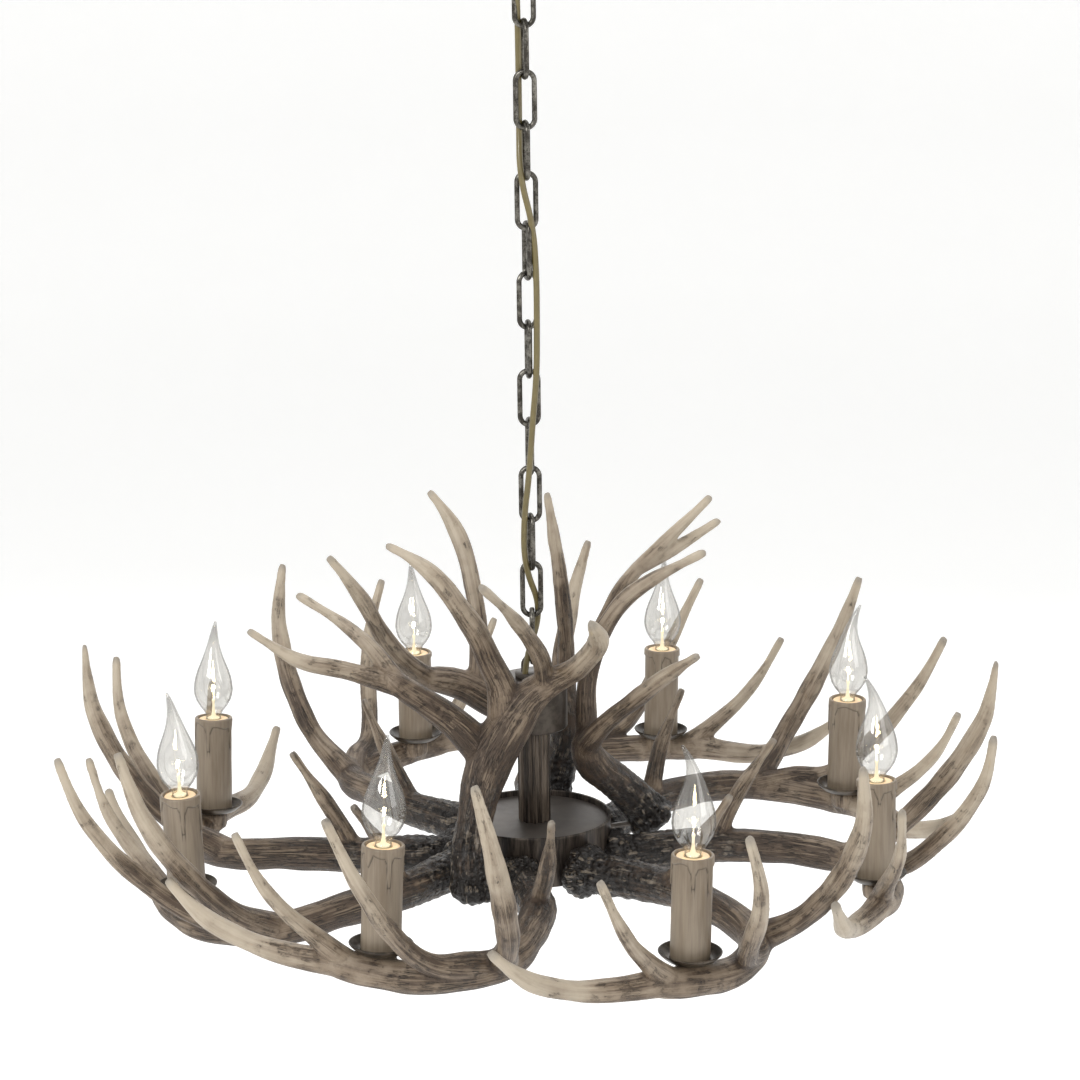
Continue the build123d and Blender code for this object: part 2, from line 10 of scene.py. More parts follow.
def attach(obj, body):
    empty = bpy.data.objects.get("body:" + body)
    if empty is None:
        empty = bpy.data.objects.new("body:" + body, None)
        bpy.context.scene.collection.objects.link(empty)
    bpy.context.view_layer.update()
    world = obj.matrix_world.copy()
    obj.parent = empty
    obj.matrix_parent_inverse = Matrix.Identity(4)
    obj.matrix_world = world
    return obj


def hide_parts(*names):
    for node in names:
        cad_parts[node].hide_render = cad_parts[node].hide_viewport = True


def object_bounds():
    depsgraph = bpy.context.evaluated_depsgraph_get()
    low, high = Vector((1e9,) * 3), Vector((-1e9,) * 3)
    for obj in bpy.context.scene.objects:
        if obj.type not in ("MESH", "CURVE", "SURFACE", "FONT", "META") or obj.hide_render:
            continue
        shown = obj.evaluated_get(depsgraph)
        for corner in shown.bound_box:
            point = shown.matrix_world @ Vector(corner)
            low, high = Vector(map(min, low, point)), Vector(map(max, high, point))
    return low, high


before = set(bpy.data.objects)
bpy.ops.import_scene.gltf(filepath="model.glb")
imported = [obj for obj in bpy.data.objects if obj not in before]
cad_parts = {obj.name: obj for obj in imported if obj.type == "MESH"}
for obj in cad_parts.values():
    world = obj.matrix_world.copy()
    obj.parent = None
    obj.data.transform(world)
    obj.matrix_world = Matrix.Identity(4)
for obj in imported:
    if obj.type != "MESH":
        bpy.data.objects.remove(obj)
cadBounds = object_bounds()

mm = 0.001
candlePlane = -800.0  # height of the plane that the candles stand on, mm
arms = range(1, 9)


def inScene(name, data):
    made = bpy.data.objects.new(name, data)
    bpy.context.collection.objects.link(made)
    return made


# The camera was fitted to the eight candles, which stand on one ring at 45 degree steps
cameraFit = {
    "sensor": 36.0,
    "lens": 3117.03 / 1080 * 36.0,
    "farthest": 50,
    "place": (0.0072605, -2.5805454, 0.9064569 + candlePlane * mm),
    "right": (0.99991844, -0.00323944, -0.01235404),
    "up": (0.01277062, 0.2410661, 0.97042467),
    "forward": (0.000165495, 0.970503293, -0.241087809),
}


def setCamera():
    camera = bpy.data.cameras.new("studioCamera")
    camera.sensor_width = cameraFit["sensor"]
    camera.lens = cameraFit["lens"]
    camera.clip_end = cameraFit["farthest"]
    eye = inScene("studioCamera", camera)
    right, up, forward = (Vector(cameraFit[name]) for name in ("right", "up", "forward"))
    turned = Matrix((right, up, -forward)).transposed().to_4x4()
    eye.matrix_world = Matrix.Translation(cameraFit["place"]) @ turned
    bpy.context.scene.camera = eye
    bpy.context.scene.view_settings.view_transform = "Standard"


setCamera()
print("camera set")


class Socket:
    # a node's socket that adds Math nodes where it stands in plain arithmetic
    def __init__(self, finish, end):
        self.finish = finish
        self.end = end

    def op(self, operation, other=None, flip=False):
        values = [self] if other is None else [other, self] if flip else [self, other]
        return self.finish.node("ShaderNodeMath", {"operation": operation}, values)

    def __add__(self, other): return self.op("ADD", other)
    def __radd__(self, other): return self.op("ADD", other, True)
    def __sub__(self, other): return self.op("SUBTRACT", other)
    def __rsub__(self, other): return self.op("SUBTRACT", other, True)
    def __mul__(self, other): return self.op("MULTIPLY", other)
    def __rmul__(self, other): return self.op("MULTIPLY", other, True)
    def __pow__(self, other): return self.op("POWER", other)
    def size(self): return self.op("ABSOLUTE")
    def clamp(self): return self.finish.node("ShaderNodeClamp", {}, [self])


class Finish:
    # one material and the nodes in it
    def __init__(self, name):
        self.material = bpy.data.materials.new(name)
        self.material.use_nodes = True
        self.nodes = self.material.node_tree.nodes
        self.links = self.material.node_tree.links
        self.nodes.clear()
        self.out = self.nodes.new("ShaderNodeOutputMaterial")

    def node(self, kind, settings, inputs, output=0):
        made = self.nodes.new(kind)
        for key, value in settings.items():
            setattr(made, key, value)
        for key, value in inputs.items() if isinstance(inputs, dict) else enumerate(inputs):
            if isinstance(value, Socket):
                self.links.new(value.end, made.inputs[key])
            else:
                made.inputs[key].default_value = value
        return Socket(self, made.outputs[output])

    def mark(self, attribute, output="Fac"):
        return self.node("ShaderNodeAttribute", {"attribute_name": attribute}, [], output)

    def point(self, attribute=None, scale=(1, 1, 1)):
        if attribute:
            where = self.mark(attribute, "Vector")
        else:
            where = self.node("ShaderNodeTexCoord", {}, [], "Object")
        return self.node("ShaderNodeMapping", {}, {"Vector": where, "Scale": scale})

    def noise(self, where, scale, detail=4.0, rough=0.55, distort=0.0):
        inputs = {"Vector": where, "Scale": scale, "Detail": detail, "Roughness": rough, "Distortion": distort}
        return self.node("ShaderNodeTexNoise", {}, inputs)

    def step(self, value, low, high):
        inputs = {"Value": value, "From Min": low, "From Max": high}
        return self.node("ShaderNodeMapRange", {"interpolation_type": "SMOOTHSTEP"}, inputs)

    def mix(self, share, a, b):
        return self.node("ShaderNodeMix", {"data_type": "RGBA"}, {0: share, 6: a, 7: b}, 2)

    def bump(self, height, strength, distance):
        return self.node("ShaderNodeBump", {}, {"Strength": strength, "Distance": distance, "Height": height})

    def surface(self, **inputs):
        named = {key.replace("_", " "): value for key, value in inputs.items()}
        return self.shown(self.node("ShaderNodeBsdfPrincipled", {}, named))

    def shown(self, shader):
        self.links.new(shader.end, self.out.inputs[0])
        return self.material


def rgba(*colour):
    return (*colour, 1.0)


def scaled(colour, share):
    return [c * share for c in colour]


antlerLook = {
    "pale": (0.445, 0.377, 0.288),
    "tan": (0.192, 0.141, 0.094),
    "dark": (0.056, 0.034, 0.020),
    "crack": (0.009, 0.006, 0.004),
    "burr": (0.0075, 0.0050, 0.0035),
    # colour of the bright pearl spots: partly wear, partly painted highlight
    "wornAndHighlight": (0.27, 0.220, 0.165),
    "tip": (0.20, 0.185, 0.165),
}
antlerRelief = 0.0017  # metres, depth of the bumps in the finish


def antlerFinish():
    # grain runs along each tine, age falls from the burr outwards, bleach rises to each tip,
    # the crease mark is high in grooves and forks and on the faces that look down, where it is painted shade,
    # join marks where two branches meet, tip the last few millimetres
    f = Finish("antlerResin")
    look = {name: rgba(*colour) for name, colour in antlerLook.items()}
    spot = f.point()
    age, bleach, creaseAndUnderShade, tip, join = (f.mark(name) for name in ("age", "bleach", "creaseAndUnderShade", "tip", "join"))
    streak = f.noise(f.point("grain", (1, 1, 0.05)), 150.0, 5.0, 0.62, 0.9)
    fine = f.noise(f.point("grain", (1, 1, 0.07)), 480.0, 4.0, 0.62, 0.5)
    cloud = f.noise(spot, 24.0, 3.0, 0.55)
    patch = f.noise(spot, 75.0, 5.0, 0.65)
    grain = (streak - 0.5) * (1 - join * 0.8) + (patch - 0.5) * join * 0.5
    # darker towards the burr, away from the tips and in grooves and forks; through the crease mark it also paints
    # shade on the faces that look down
    toneDrive = age * 0.85 + (1 - bleach) * 0.42 + creaseAndUnderShade * 0.6
    tanAndUnderShade = f.step(toneDrive + (cloud - 0.5) * 0.9 + grain * 0.8 + (patch - 0.5) * 0.25, 0.09, 0.82)
    base = f.mix(tanAndUnderShade, look["pale"], look["tan"])
    # the dark brown patches, which also take painted shade on the faces that look down
    darkAndUnderShade = toneDrive * 0.95 + (cloud - 0.5) * 0.9 + grain * 1.9 + (fine - 0.5) * 0.9 - bleach * 0.1
    deep = f.step(darkAndUnderShade, 0.58, 1.02)
    base = f.mix(deep * 0.93, base, look["dark"])
    # long thin cracks where the streaks cross their middle value
    line = (fine - 0.5 + grain * 0.3).size()
    place = patch + (cloud - 0.5) * 0.5 + age * 0.2 + creaseAndUnderShade * 0.25 - join * 0.1 - bleach * 0.1
    crack = (1 - f.step(line, 0.006, 0.016 + age * 0.02)) * f.step(place, 0.55, 0.64)
    base = f.mix(crack * 0.95, base, look["crack"])
    # the burr is nearly black, with bright spots on its pearls that are partly wear and partly painted highlight
    black = f.step(age + (patch - 0.5) * 0.5 + grain * 0.5, 0.68, 0.90)
    base = f.mix(black * 0.97, base, look["burr"])
    pearl = f.node("ShaderNodeTexVoronoi", {}, {"Vector": spot, "Scale": 210.0}, "Distance")
    knob = (1 - f.step(pearl, 0.05, 0.62)) * black
    shine = f.step(fine * 0.5 + patch * 0.5 + knob * 0.05 - creaseAndUnderShade * 0.2, 0.515, 0.56) * black
    # bright pearl spots, partly wear and partly painted highlight
    base = f.mix(shine * 0.55, base, look["wornAndHighlight"])
    base = f.mix(tip * 0.6, base, look["tip"])
    height = streak * 0.45 + fine * (0.35 + age * 0.5) - crack * 0.6 + knob * 1.6
    rough = 0.47 - black * 0.27 + deep * 0.08 - bleach * 0.05
    relief = f.bump(height, 0.9, antlerRelief)
    return f.surface(Base_Color=base, Roughness=rough, Normal=relief, Specular_IOR_Level=0.5)


def metalFinish(name, dark, light, scale, roughness, metallic, grain=(1, 1, 1), bump=0.2):
    f = Finish(name)
    spot = f.point(None, grain)
    toneDrive = f.noise(spot, scale, 6.0, 0.65, 0.3)
    fine = f.noise(spot, scale * 5.0, 4.0, 0.6)
    colour = f.mix(f.step(toneDrive * 0.7 + fine * 0.3, 0.42, 0.64), rgba(*dark), rgba(*light))
    rough = roughness + (fine - 0.5) * 0.25
    relief = f.bump(toneDrive * 0.6 + fine * 0.4, bump, 0.0006)
    return f.surface(Base_Color=colour, Metallic=metallic, Roughness=rough, Normal=relief)


# the drip edge colour is painted shade just under the lower edge of each drip
sleeveLook = {"dark": (0.172, 0.132, 0.092), "light": (0.258, 0.210, 0.155), "dripEdgeShade": (0.026, 0.018, 0.012)}


def sleeveFinish():
    f = Finish("sleeveWax")
    streak = f.noise(f.point("grain", (1, 1, 0.05)), 420.0, 5.0, 0.6, 0.1)
    broad = f.noise(f.point("grain", (1, 1, 0.25)), 75.0, 3.0, 0.5)
    share = f.step(streak * 0.5 + broad * 0.5, 0.34, 0.66)
    colour = f.mix(share, rgba(*sleeveLook["dark"]), rgba(*sleeveLook["light"]))
    # a near-black line just under each drip's lower edge: painted shade of the drip's lip
    colour = f.mix(f.mark("dripEdgeShade"), colour, rgba(*sleeveLook["dripEdgeShade"]))
    relief = f.bump(streak * 0.5, 0.15, 0.0004)
    return f.surface(Base_Color=colour, Roughness=0.45 + (streak - 0.5) * 0.2, Normal=relief)


def plainFinish(name, colour, roughness, scale=300.0, **more):
    f = Finish(name)
    speck = f.noise(f.point(), scale, 4.0, 0.6)
    tone = f.mix(f.step(speck, 0.3, 0.7), rgba(*scaled(colour, 0.86)), rgba(*colour))
    relief = f.bump(speck, 0.12, 0.0004)
    return f.surface(Base_Color=tone, Roughness=roughness + (speck - 0.5) * 0.1, Normal=relief, **more)


# outline is the colour of the painted dark reflection at the glass's edges
glassLook = {"clear": (0.90, 0.895, 0.885), "shine": (0.95, 0.95, 0.94), "outline": (0.085, 0.078, 0.070)}


def glassFinish():
    # clear in the middle, bright where it turns away, with a thin dark outline of painted reflection, and a little of
    # it painted over the thin tip
    f = Finish("bulbGlass")
    rim = f.node("ShaderNodeLayerWeight", {}, {"Blend": 0.5}, "Facing")
    speck = f.noise(f.point(), 40.0, 2.0)
    clear = f.node("ShaderNodeBsdfTransparent", {}, {"Color": rgba(*glassLook["clear"])})
    shine = f.node("ShaderNodeBsdfPrincipled", {}, {
        "Base Color": rgba(*glassLook["shine"]), "Roughness": 0.04, "Metallic": 1.0})
    outline = f.node("ShaderNodeBsdfPrincipled", {}, {
        "Base Color": rgba(*glassLook["outline"]), "Roughness": 0.35, "Specular IOR Level": 0.25})
    mirror = (0.075 + rim ** 3.0 * 0.25 + (speck - 0.5) * 0.03).clamp()
    # painted dark reflection round the outline, plus a little over the thin tip through the neck mark
    edge = (f.step(rim, 0.6, 0.96) * 0.75 + f.mark("neck") * 0.10).clamp()
    glossy = f.node("ShaderNodeMixShader", {}, [mirror, clear, shine])
    return f.shown(f.node("ShaderNodeMixShader", {}, [edge, glossy, outline]))


def glowFinish(name, colour, strength, base):
    f = Finish(name)
    speck = f.noise(f.point(), 200.0, 3.0)
    tone = f.mix(speck, rgba(*colour), rgba(*[min(1.0, c) for c in scaled(colour, 1.15)]))
    body = f.mix(speck, rgba(*scaled(base, 0.85)), rgba(*base))
    return f.surface(Base_Color=body, Roughness=0.5, Emission_Color=tone, Emission_Strength=strength)


# name, dark and light colour, scale of the wear, roughness, metallic, then the grain's stretch and bump
metalLooks = {
    "chain": ("chainBronze", (0.052, 0.047, 0.040), (0.225, 0.213, 0.187), 150.0, 0.30, 0.9, (1, 1, 1), 0.4),
    "bronze": ("hubBronze", (0.050, 0.040, 0.032), (0.105, 0.088, 0.072), 40.0, 0.42, 0.5),
    "drum": ("drumBronze", (0.016, 0.012, 0.010), (0.11, 0.088, 0.07), 120.0, 0.40, 0.45, (1, 1, 0.1), 0.6),
    "stem": ("stemBronze", (0.014, 0.010, 0.008), (0.22, 0.175, 0.135), 120.0, 0.40, 0.35, (1, 1, 0.05), 0.3),
    "cover": ("coverBronze", (0.066, 0.056, 0.048), (0.098, 0.084, 0.072), 26.0, 0.5, 0.35),
    "pan": ("panBronze", (0.024, 0.018, 0.012), (0.088, 0.068, 0.048), 60.0, 0.34, 0.6),
    "cap": ("capBrass", (0.35, 0.25, 0.12), (0.62, 0.47, 0.24), 120.0, 0.32, 0.9),
    "steel": ("zincSteel", (0.32, 0.32, 0.32), (0.55, 0.55, 0.54), 90.0, 0.38, 0.9),
}
# name, colour of the light, its strength, colour of the body
glowLooks = {
    # the lampholder glows with painted light from the bulb falling on it
    "holder": ("holderBulbGlow", (1.0, 0.70, 0.42), 0.34, (0.66, 0.48, 0.30)),
    "filament": ("filamentGlow", (1.0, 0.80, 0.52), 40.0, (1.0, 0.85, 0.6)),
    # the glass foot and its wires glow with painted light from the filament
    "mount": ("glassMountGlow", (1.0, 0.84, 0.60), 0.75, (0.80, 0.70, 0.52)),
}
finishes = {
    "antler": antlerFinish(),
    "sleeve": sleeveFinish(),
    "glass": glassFinish(),
    "cord": plainFinish("oliveFlex", (0.150, 0.118, 0.042), 0.3, 220.0, Coat_Weight=0.35),
    "white": plainFinish("terminalWhite", (0.78, 0.77, 0.72), 0.5),
}
finishes.update({key: metalFinish(*look) for key, look in metalLooks.items()})
finishes.update({key: glowFinish(*look) for key, look in glowLooks.items()})

# small parts that show as their solids
for node, finish in {
    "ceiling_bracket": "steel", "bracket_nipple": "steel", "nipple_nut": "steel", "center_rod": "steel",
    "drum_spacer": "steel", "antler_screws": "bronze", "terminal_block": "white",
}.items():
    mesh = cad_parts[node].data
    mesh.materials.clear()
    mesh.materials.append(finishes[finish])
print("finishes made")


def fit(piece, body, slot, *nodes):
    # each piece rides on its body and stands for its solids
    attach(piece, body)
    if nodes:
        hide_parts(*nodes)


def shadeSmooth(mesh):
    mesh.polygons.foreach_set("use_smooth", [True] * len(mesh.polygons))


def newMesh(name, data):
    mesh = bpy.data.meshes.new(name)
    mesh.from_pydata([tuple(v) for v in data[0]], [], data[1])
    mesh.update()
    shadeSmooth(mesh)
    return mesh


def newPiece(name, data, finish):
    piece = inScene(name, newMesh(name, data))
    piece.data.materials.append(finishes[finish])
    return piece


def settled(holder):
    # what an object's modifiers make of it, as a plain mesh
    made = bpy.data.meshes.new_from_object(holder.evaluated_get(bpy.context.evaluated_depsgraph_get()))
    bpy.data.objects.remove(holder)
    shadeSmooth(made)
    return made


def setMark(mesh, label, values):
    kind, field = ("FLOAT_VECTOR", "vector") if np.ndim(values) == 2 else ("FLOAT", "value")
    mesh.attributes.new(label, kind, "POINT").data.foreach_set(field, np.ravel(values))


def joined(*parts):
    # several pairs of points and faces as one
    verts, faces = [], []
    for partVerts, partFaces in parts:
        faces += [tuple(i + len(verts) for i in face) for face in partFaces]
        verts += list(partVerts)
    return verts, faces


def placed(place, data):
    return [place @ Vector(v) for v in data[0]], data[1]


def bandFaces(turns, rows, total):
    # quads from each ring in rows to the next, where the ring after the last is the first
    faces = []
    for row in rows:
        low, high = row * turns, (row + 1) % total * turns
        faces += [(low + k, low + (k + 1) % turns, high + (k + 1) % turns, high + k) for k in range(turns)]
    return faces


def ringPoints(radius, height, turns):
    angles = [2 * math.pi * k / turns for k in range(turns)]
    return [(radius * math.cos(turn), radius * math.sin(turn), height) for turn in angles]


def latheData(profile, turns=48, base=0.0):
    # (radius, height) rows in mm turned round Z; a closed profile returns to its first row
    rings = [ringPoints(r * mm, (h + base) * mm, turns) for r, h in profile]
    return [v for ring in rings for v in ring], bandFaces(turns, range(len(profile) - 1), len(profile))


def tubeFrames(path):
    # the line's direction and two sides at each point, carried along without twisting
    tangents = np.gradient(path, axis=0)
    tangents /= np.linalg.norm(tangents, axis=1)[:, None]
    side = np.cross(tangents[0], (0, 0, 1.0) if abs(tangents[0][2]) < 0.9 else (1.0, 0, 0))
    side /= np.linalg.norm(side)
    frames = []
    for tangent in tangents:
        side = side - tangent * np.dot(side, tangent)
        side /= np.linalg.norm(side)
        frames.append((side.copy(), np.cross(tangent, side), tangent))
    return frames


def closedTube(path, radii, sides=14):
    verts = []
    angles = [2 * math.pi * j / sides for j in range(sides)]
    for centre, radius, (side, up, _) in zip(path, radii, tubeFrames(path)):
        verts += [centre + radius * (math.cos(turn) * side + math.sin(turn) * up) for turn in angles]
    count = len(path)
    caps = [tuple(reversed(range(sides))), tuple(range((count - 1) * sides, count * sides))]
    return verts, bandFaces(sides, range(count - 1), count) + caps


def wireMesh(points, radius, sides):
    path = np.array(points, float)
    return closedTube(path * mm, np.full(len(path), radius) * mm, sides)


def sharpen(mesh, degrees):
    bm = bmesh.new()
    bm.from_mesh(mesh)
    for edge in bm.edges:
        if len(edge.link_faces) == 2 and edge.calc_face_angle(0) > math.radians(degrees):
            edge.smooth = False
    bm.to_mesh(mesh)
    bm.free()


# lengths in mm; a link's number counts up from the hub, and its twist is in degrees
chain = {
    "links": 14, "pitch": 41.7, "wire": 2.25, "halfWidth": 7.75, "play": 0.3,
    "topContact": -56.3, "hubContact": -640.1, "bowPoints": 12, "wireSides": 14,
    "twist": {3: 12.0, 5: 12.0, 7: 8.0, 8: 24.0, 9: 16.0, 10: 4.0, 11: 12.0, 13: 12.0},
}
# the cord's middle line: where it leaves the canopy, its place at each contact of the links, its end in the can
cordShape = {
    "radius": 2.7,
    "top": (-7.0, -7.0, -24.8),
    "spots": [
        (-6.0, -6.0), (-5.2, 5.2), (-5.1, 5.2), (-5.2, 5.2), (-5.3, -5.3), (5.4, -6.4), (7.6, -6.4), (7.4, -7.2),
        (6.8, -9.4), (2.5, -13.4), (-0.5, -12.8), (-5.9, -5.9), (-5.9, -6.0), (9.0, 8.6),
    ],
    "hub": (-6.8, -6.8),
    "end": (-7.0, -7.0, candlePlane + 144 - 1.5 - 2.0),
    "order": 3,
    "resolution": 12,
}


def supplyCord():
    route = [cordShape["top"]]
    route += [(*spot, chain["topContact"] - k * chain["pitch"]) for k, spot in enumerate(cordShape["spots"])]
    route += [(*cordShape["hub"], chain["hubContact"]), cordShape["end"]]
    curve = bpy.data.curves.new("supplyCord", "CURVE")
    curve.dimensions = "3D"
    curve.bevel_depth = cordShape["radius"] * mm
    curve.bevel_resolution = 4
    curve.use_fill_caps = True
    spline = curve.splines.new("NURBS")
    spline.points.add(len(route) - 1)
    for point, spot in zip(spline.points, route):
        point.co = (*[c * mm for c in spot], 1.0)
    spline.order_u = cordShape["order"]
    spline.use_endpoint_u = True
    spline.resolution_u = cordShape["resolution"]
    curve.materials.append(finishes["cord"])
    return inScene("supplyCord", curve)


cord = supplyCord()
fit(cord, "chain", "cord", "supply_cord")
print("cord made")


def linkTree():
    # a link is bent from a rounded rectangle and stands on each point, turned by the point's attribute
    tree = bpy.data.node_groups.new("linkChain", "GeometryNodeTree")
    socket = tree.interface.new_socket
    socket("Geometry", in_out="INPUT", socket_type="NodeSocketGeometry")
    sizes = {name: socket(name, in_out="INPUT", socket_type="NodeSocketFloat")
             for name in ("Wire radius", "Half width", "Straight length")}
    socket("Geometry", in_out="OUTPUT", socket_type="NodeSocketGeometry")
    given = tree.nodes.new("NodeGroupInput").outputs

    def add(kind, inputs, **settings):
        node = tree.nodes.new(kind)
        for key, value in settings.items():
            setattr(node, key, value)
        for key, value in inputs.items():
            if isinstance(value, bpy.types.NodeSocket):
                tree.links.new(value, node.inputs[key])
            else:
                node.inputs[key].default_value = value
        return node.outputs[0]

    half, points = given["Half width"], given["Geometry"]
    width = add("ShaderNodeMath", {0: half, 1: 2.0}, operation="MULTIPLY")
    outline = add("GeometryNodeCurvePrimitiveQuadrilateral", {"Width": width, "Height": given["Straight length"]})
    bows = add("GeometryNodeFilletCurve", {"Curve": outline, "Count": chain["bowPoints"], "Radius": half}, mode="POLY")
    stand = add("GeometryNodeTransform", {"Geometry": bows, "Rotation": (math.pi / 2, 0, 0)})
    circle = {"Resolution": chain["wireSides"], "Radius": given["Wire radius"]}
    profile = add("GeometryNodeCurvePrimitiveCircle", circle)
    wire = add("GeometryNodeCurveToMesh", {"Curve": stand, "Profile Curve": profile})
    turn = add("GeometryNodeInputNamedAttribute", {"Name": "turn"}, data_type="FLOAT")
    spin = add("ShaderNodeCombineXYZ", {"Z": turn})
    copies = add("GeometryNodeInstanceOnPoints", {"Points": points, "Instance": wire, "Rotation": spin})
    real = add("GeometryNodeRealizeInstances", {0: copies})
    painted = add("GeometryNodeSetMaterial", {"Geometry": real, "Material": finishes["chain"]})
    tree.links.new(painted, tree.nodes.new("NodeGroupOutput").inputs["Geometry"])
    return tree, sizes


def linkChain():
    numbers = range(1, chain["links"] + 1)
    middles = bpy.data.meshes.new("chainPoints")
    middles.from_pydata([(0, 0, (chain["hubContact"] + (k - 0.5) * chain["pitch"]) * mm) for k in numbers], [], [])
    turns = [math.radians(90 * (k % 2) + chain["twist"].get(k, 0)) for k in numbers]
    setMark(middles, "turn", turns)
    holder = inScene("chainPoints", middles)
    modifier = holder.modifiers.new("links", "NODES")
    modifier.node_group, sizes = linkTree()
    reach = chain["pitch"] / 2 + chain["play"] / 2 + chain["wire"]
    modifier[sizes["Wire radius"].identifier] = chain["wire"] * mm
    modifier[sizes["Half width"].identifier] = chain["halfWidth"] * mm
    modifier[sizes["Straight length"].identifier] = 2 * reach * mm
    made = settled(holder)
    fit(inScene("linkChain", made), "chain", "chain_bronze", "chain_links")
    print("chain", len(made.polygons), "faces")


linkChain()

# how each arm is bolted on, a little off true:
# turn about the hub, lift of its outer end, roll (degrees), rise, reach (mm)
armSettings = [
    (-1.0, 0.5, 0.0, -3.0, -1.0),
    (1.5, -0.5, 4.5, -7.0, -1.0),
    (-1.5, -2.0, -0.5, 6.0, 0.0),
    (0.0, 3.0, -1.5, -6.0, 3.0),
    (0.0, -0.5, -1.5, 3.0, 3.0),
    (-1.0, 1.0, -1.5, -3.0, -2.5),
    (2.5, -1.0, 0.5, 1.0, 0.0),
    (-0.5, -1.5, 0.5, 9.0, -1.5),
]
firstBearing = 112.5
ringRadius = 313.0  # of the candles, mm
drumRadius = 66.5


def armBearing(number):
    return firstBearing + (number - 1) * 45


def armMatrix(number):
    turn, lift, roll, rise, reach = armSettings[number - 1]
    bearing = math.radians(armBearing(number) + turn)
    swing = Matrix.Translation((0, 0, candlePlane * mm)) @ Matrix.Rotation(bearing, 4, "Z")
    place = Matrix.Translation((reach * mm, 0, rise * mm))
    return swing @ place @ Matrix.Rotation(math.radians(-lift), 4, "Y") @ Matrix.Rotation(math.radians(roll), 4, "X")


def candleMatrix(number):
    return armMatrix(number) @ Matrix.Translation((ringRadius * mm, 0, 0))


antlerShape = {
    "voxel": 0.0017,    # metres, mesh fineness
    "soften": 0.6,
    "softenRounds": 12,
    "ringStep": 6,      # mm between the rings of a branch
    "tip": 4.4,         # mm, radius of a tine near its end
    "tipMark": 7.0,     # mm, length of its worn end
    "bleach": 150.0,    # mm, length of the pale end of a tine
    "groove": 0.0007,   # metres, depth of the lengthwise grooves
    "lump": 0.0013,     # metres, soft unevenness
    "pearl": 0.0022,    # metres, height of the pearls near the burr
    "knot": 0.0016,     # metres, unevenness under the pearls
    "oldFrom": 0.66,    # age from which the pearls grow
}
burrRings = ((-1, 0.86), (-0.5, 1.0), (0, 1.04), (0.6, 0.95), (1, 0.74))


def smoothLine(points, count):
    # a natural cubic through every column of the points, evenly divided
    p = np.array(points, float)
    t = np.zeros(len(p))
    for i in range(1, len(p)):
        t[i] = t[i - 1] + np.linalg.norm(p[i, :3] - p[i - 1, :3]) ** 0.5
    n = len(p)
    h = np.diff(t)
    a = np.zeros((n, n))
    b = np.zeros((n, p.shape[1]))
    a[0, 0] = a[-1, -1] = 1
    for i in range(1, n - 1):
        a[i, i - 1], a[i, i], a[i, i + 1] = h[i - 1], 2 * (h[i - 1] + h[i]), h[i]
        b[i] = 6 * ((p[i + 1] - p[i]) / h[i] - (p[i] - p[i - 1]) / h[i - 1])
    m = np.linalg.solve(a, b)
    line = []
    for x in np.linspace(0, t[-1], count):
        i = min(np.searchsorted(t, x, side="right") - 1, n - 2)
        u, w = t[i + 1] - x, x - t[i]
        bend = m[i] * u ** 3 / (6 * h[i]) + m[i + 1] * w ** 3 / (6 * h[i])
        line.append(bend + (p[i] / h[i] - m[i] * h[i] / 6) * u + (p[i + 1] / h[i] - m[i + 1] * h[i] / 6) * w)
    return np.array(line)


def branchTube(branch, points, radii, begin):
    # one branch as a closed tube, with a sample at each ring: centre, width, length gone, side, up, along,
    # length left to the tip, branch
    length = sum(math.dist(points[i], points[i + 1]) for i in range(len(points) - 1))
    spread = np.interp(np.linspace(0, len(radii) - 1, len(points)), range(len(radii)), radii)
    keyed = [(*p, r) for p, r in zip(points, spread)]
    line = smoothLine(keyed, max(8, int(length / antlerShape["ringStep"])))
    path, widths = line[:, :3], np.maximum(line[:, 3], antlerShape["tip"])
    widths[-1] *= 0.85
    gone, samples = begin, []
    for k, frameHere in enumerate(tubeFrames(path)):
        if k:
            gone += np.linalg.norm(path[k] - path[k - 1])
        left = begin + length - gone if radii[-1] < 6 else 999.0
        samples.append((path[k] * mm, widths[k] * mm, gone, *frameHere, left, branch))
    return closedTube(path * mm, widths * mm), samples


def fused(name, parts):
    # the tubes as one surface
    raw = inScene(name + "Raw", newMesh(name + "Raw", joined(*parts)))
    remesh = raw.modifiers.new("fuse", "REMESH")
    remesh.mode = "VOXEL"
    remesh.voxel_size = antlerShape["voxel"]
    soft = raw.modifiers.new("soften", "SMOOTH")
    soft.factor = antlerShape["soften"]
    soft.iterations = antlerShape["softenRounds"]
    return settled(raw)


def readPoints(mesh):
    co = np.empty(len(mesh.vertices) * 3)
    mesh.vertices.foreach_get("co", co)
    return co.reshape(-1, 3)


def meanAround(mesh, field, rounds=1):
    # the mean of each vertex's neighbours, taken a number of times
    count = len(field)
    ends = np.empty(len(mesh.edges) * 2, int)
    mesh.edges.foreach_get("vertices", ends)
    a, b = ends[0::2], ends[1::2]
    links = np.maximum(np.bincount(a, minlength=count) + np.bincount(b, minlength=count), 1)
    for _ in range(rounds):
        field = (np.bincount(a, field[b], count) + np.bincount(b, field[a], count)) / links
    return field


def hollowness(mesh, co, normals):
    # 1 in the forks and creases, 0 on the round backs
    near = np.stack([meanAround(mesh, co[:, k]) for k in range(3)], 1)
    bend = meanAround(mesh, ((near - co) * normals).sum(1), 16)
    return np.clip(bend / 0.00005 + 0.25, 0, 1)


def unit(value):
    return max(0.0, min(1.0, value))


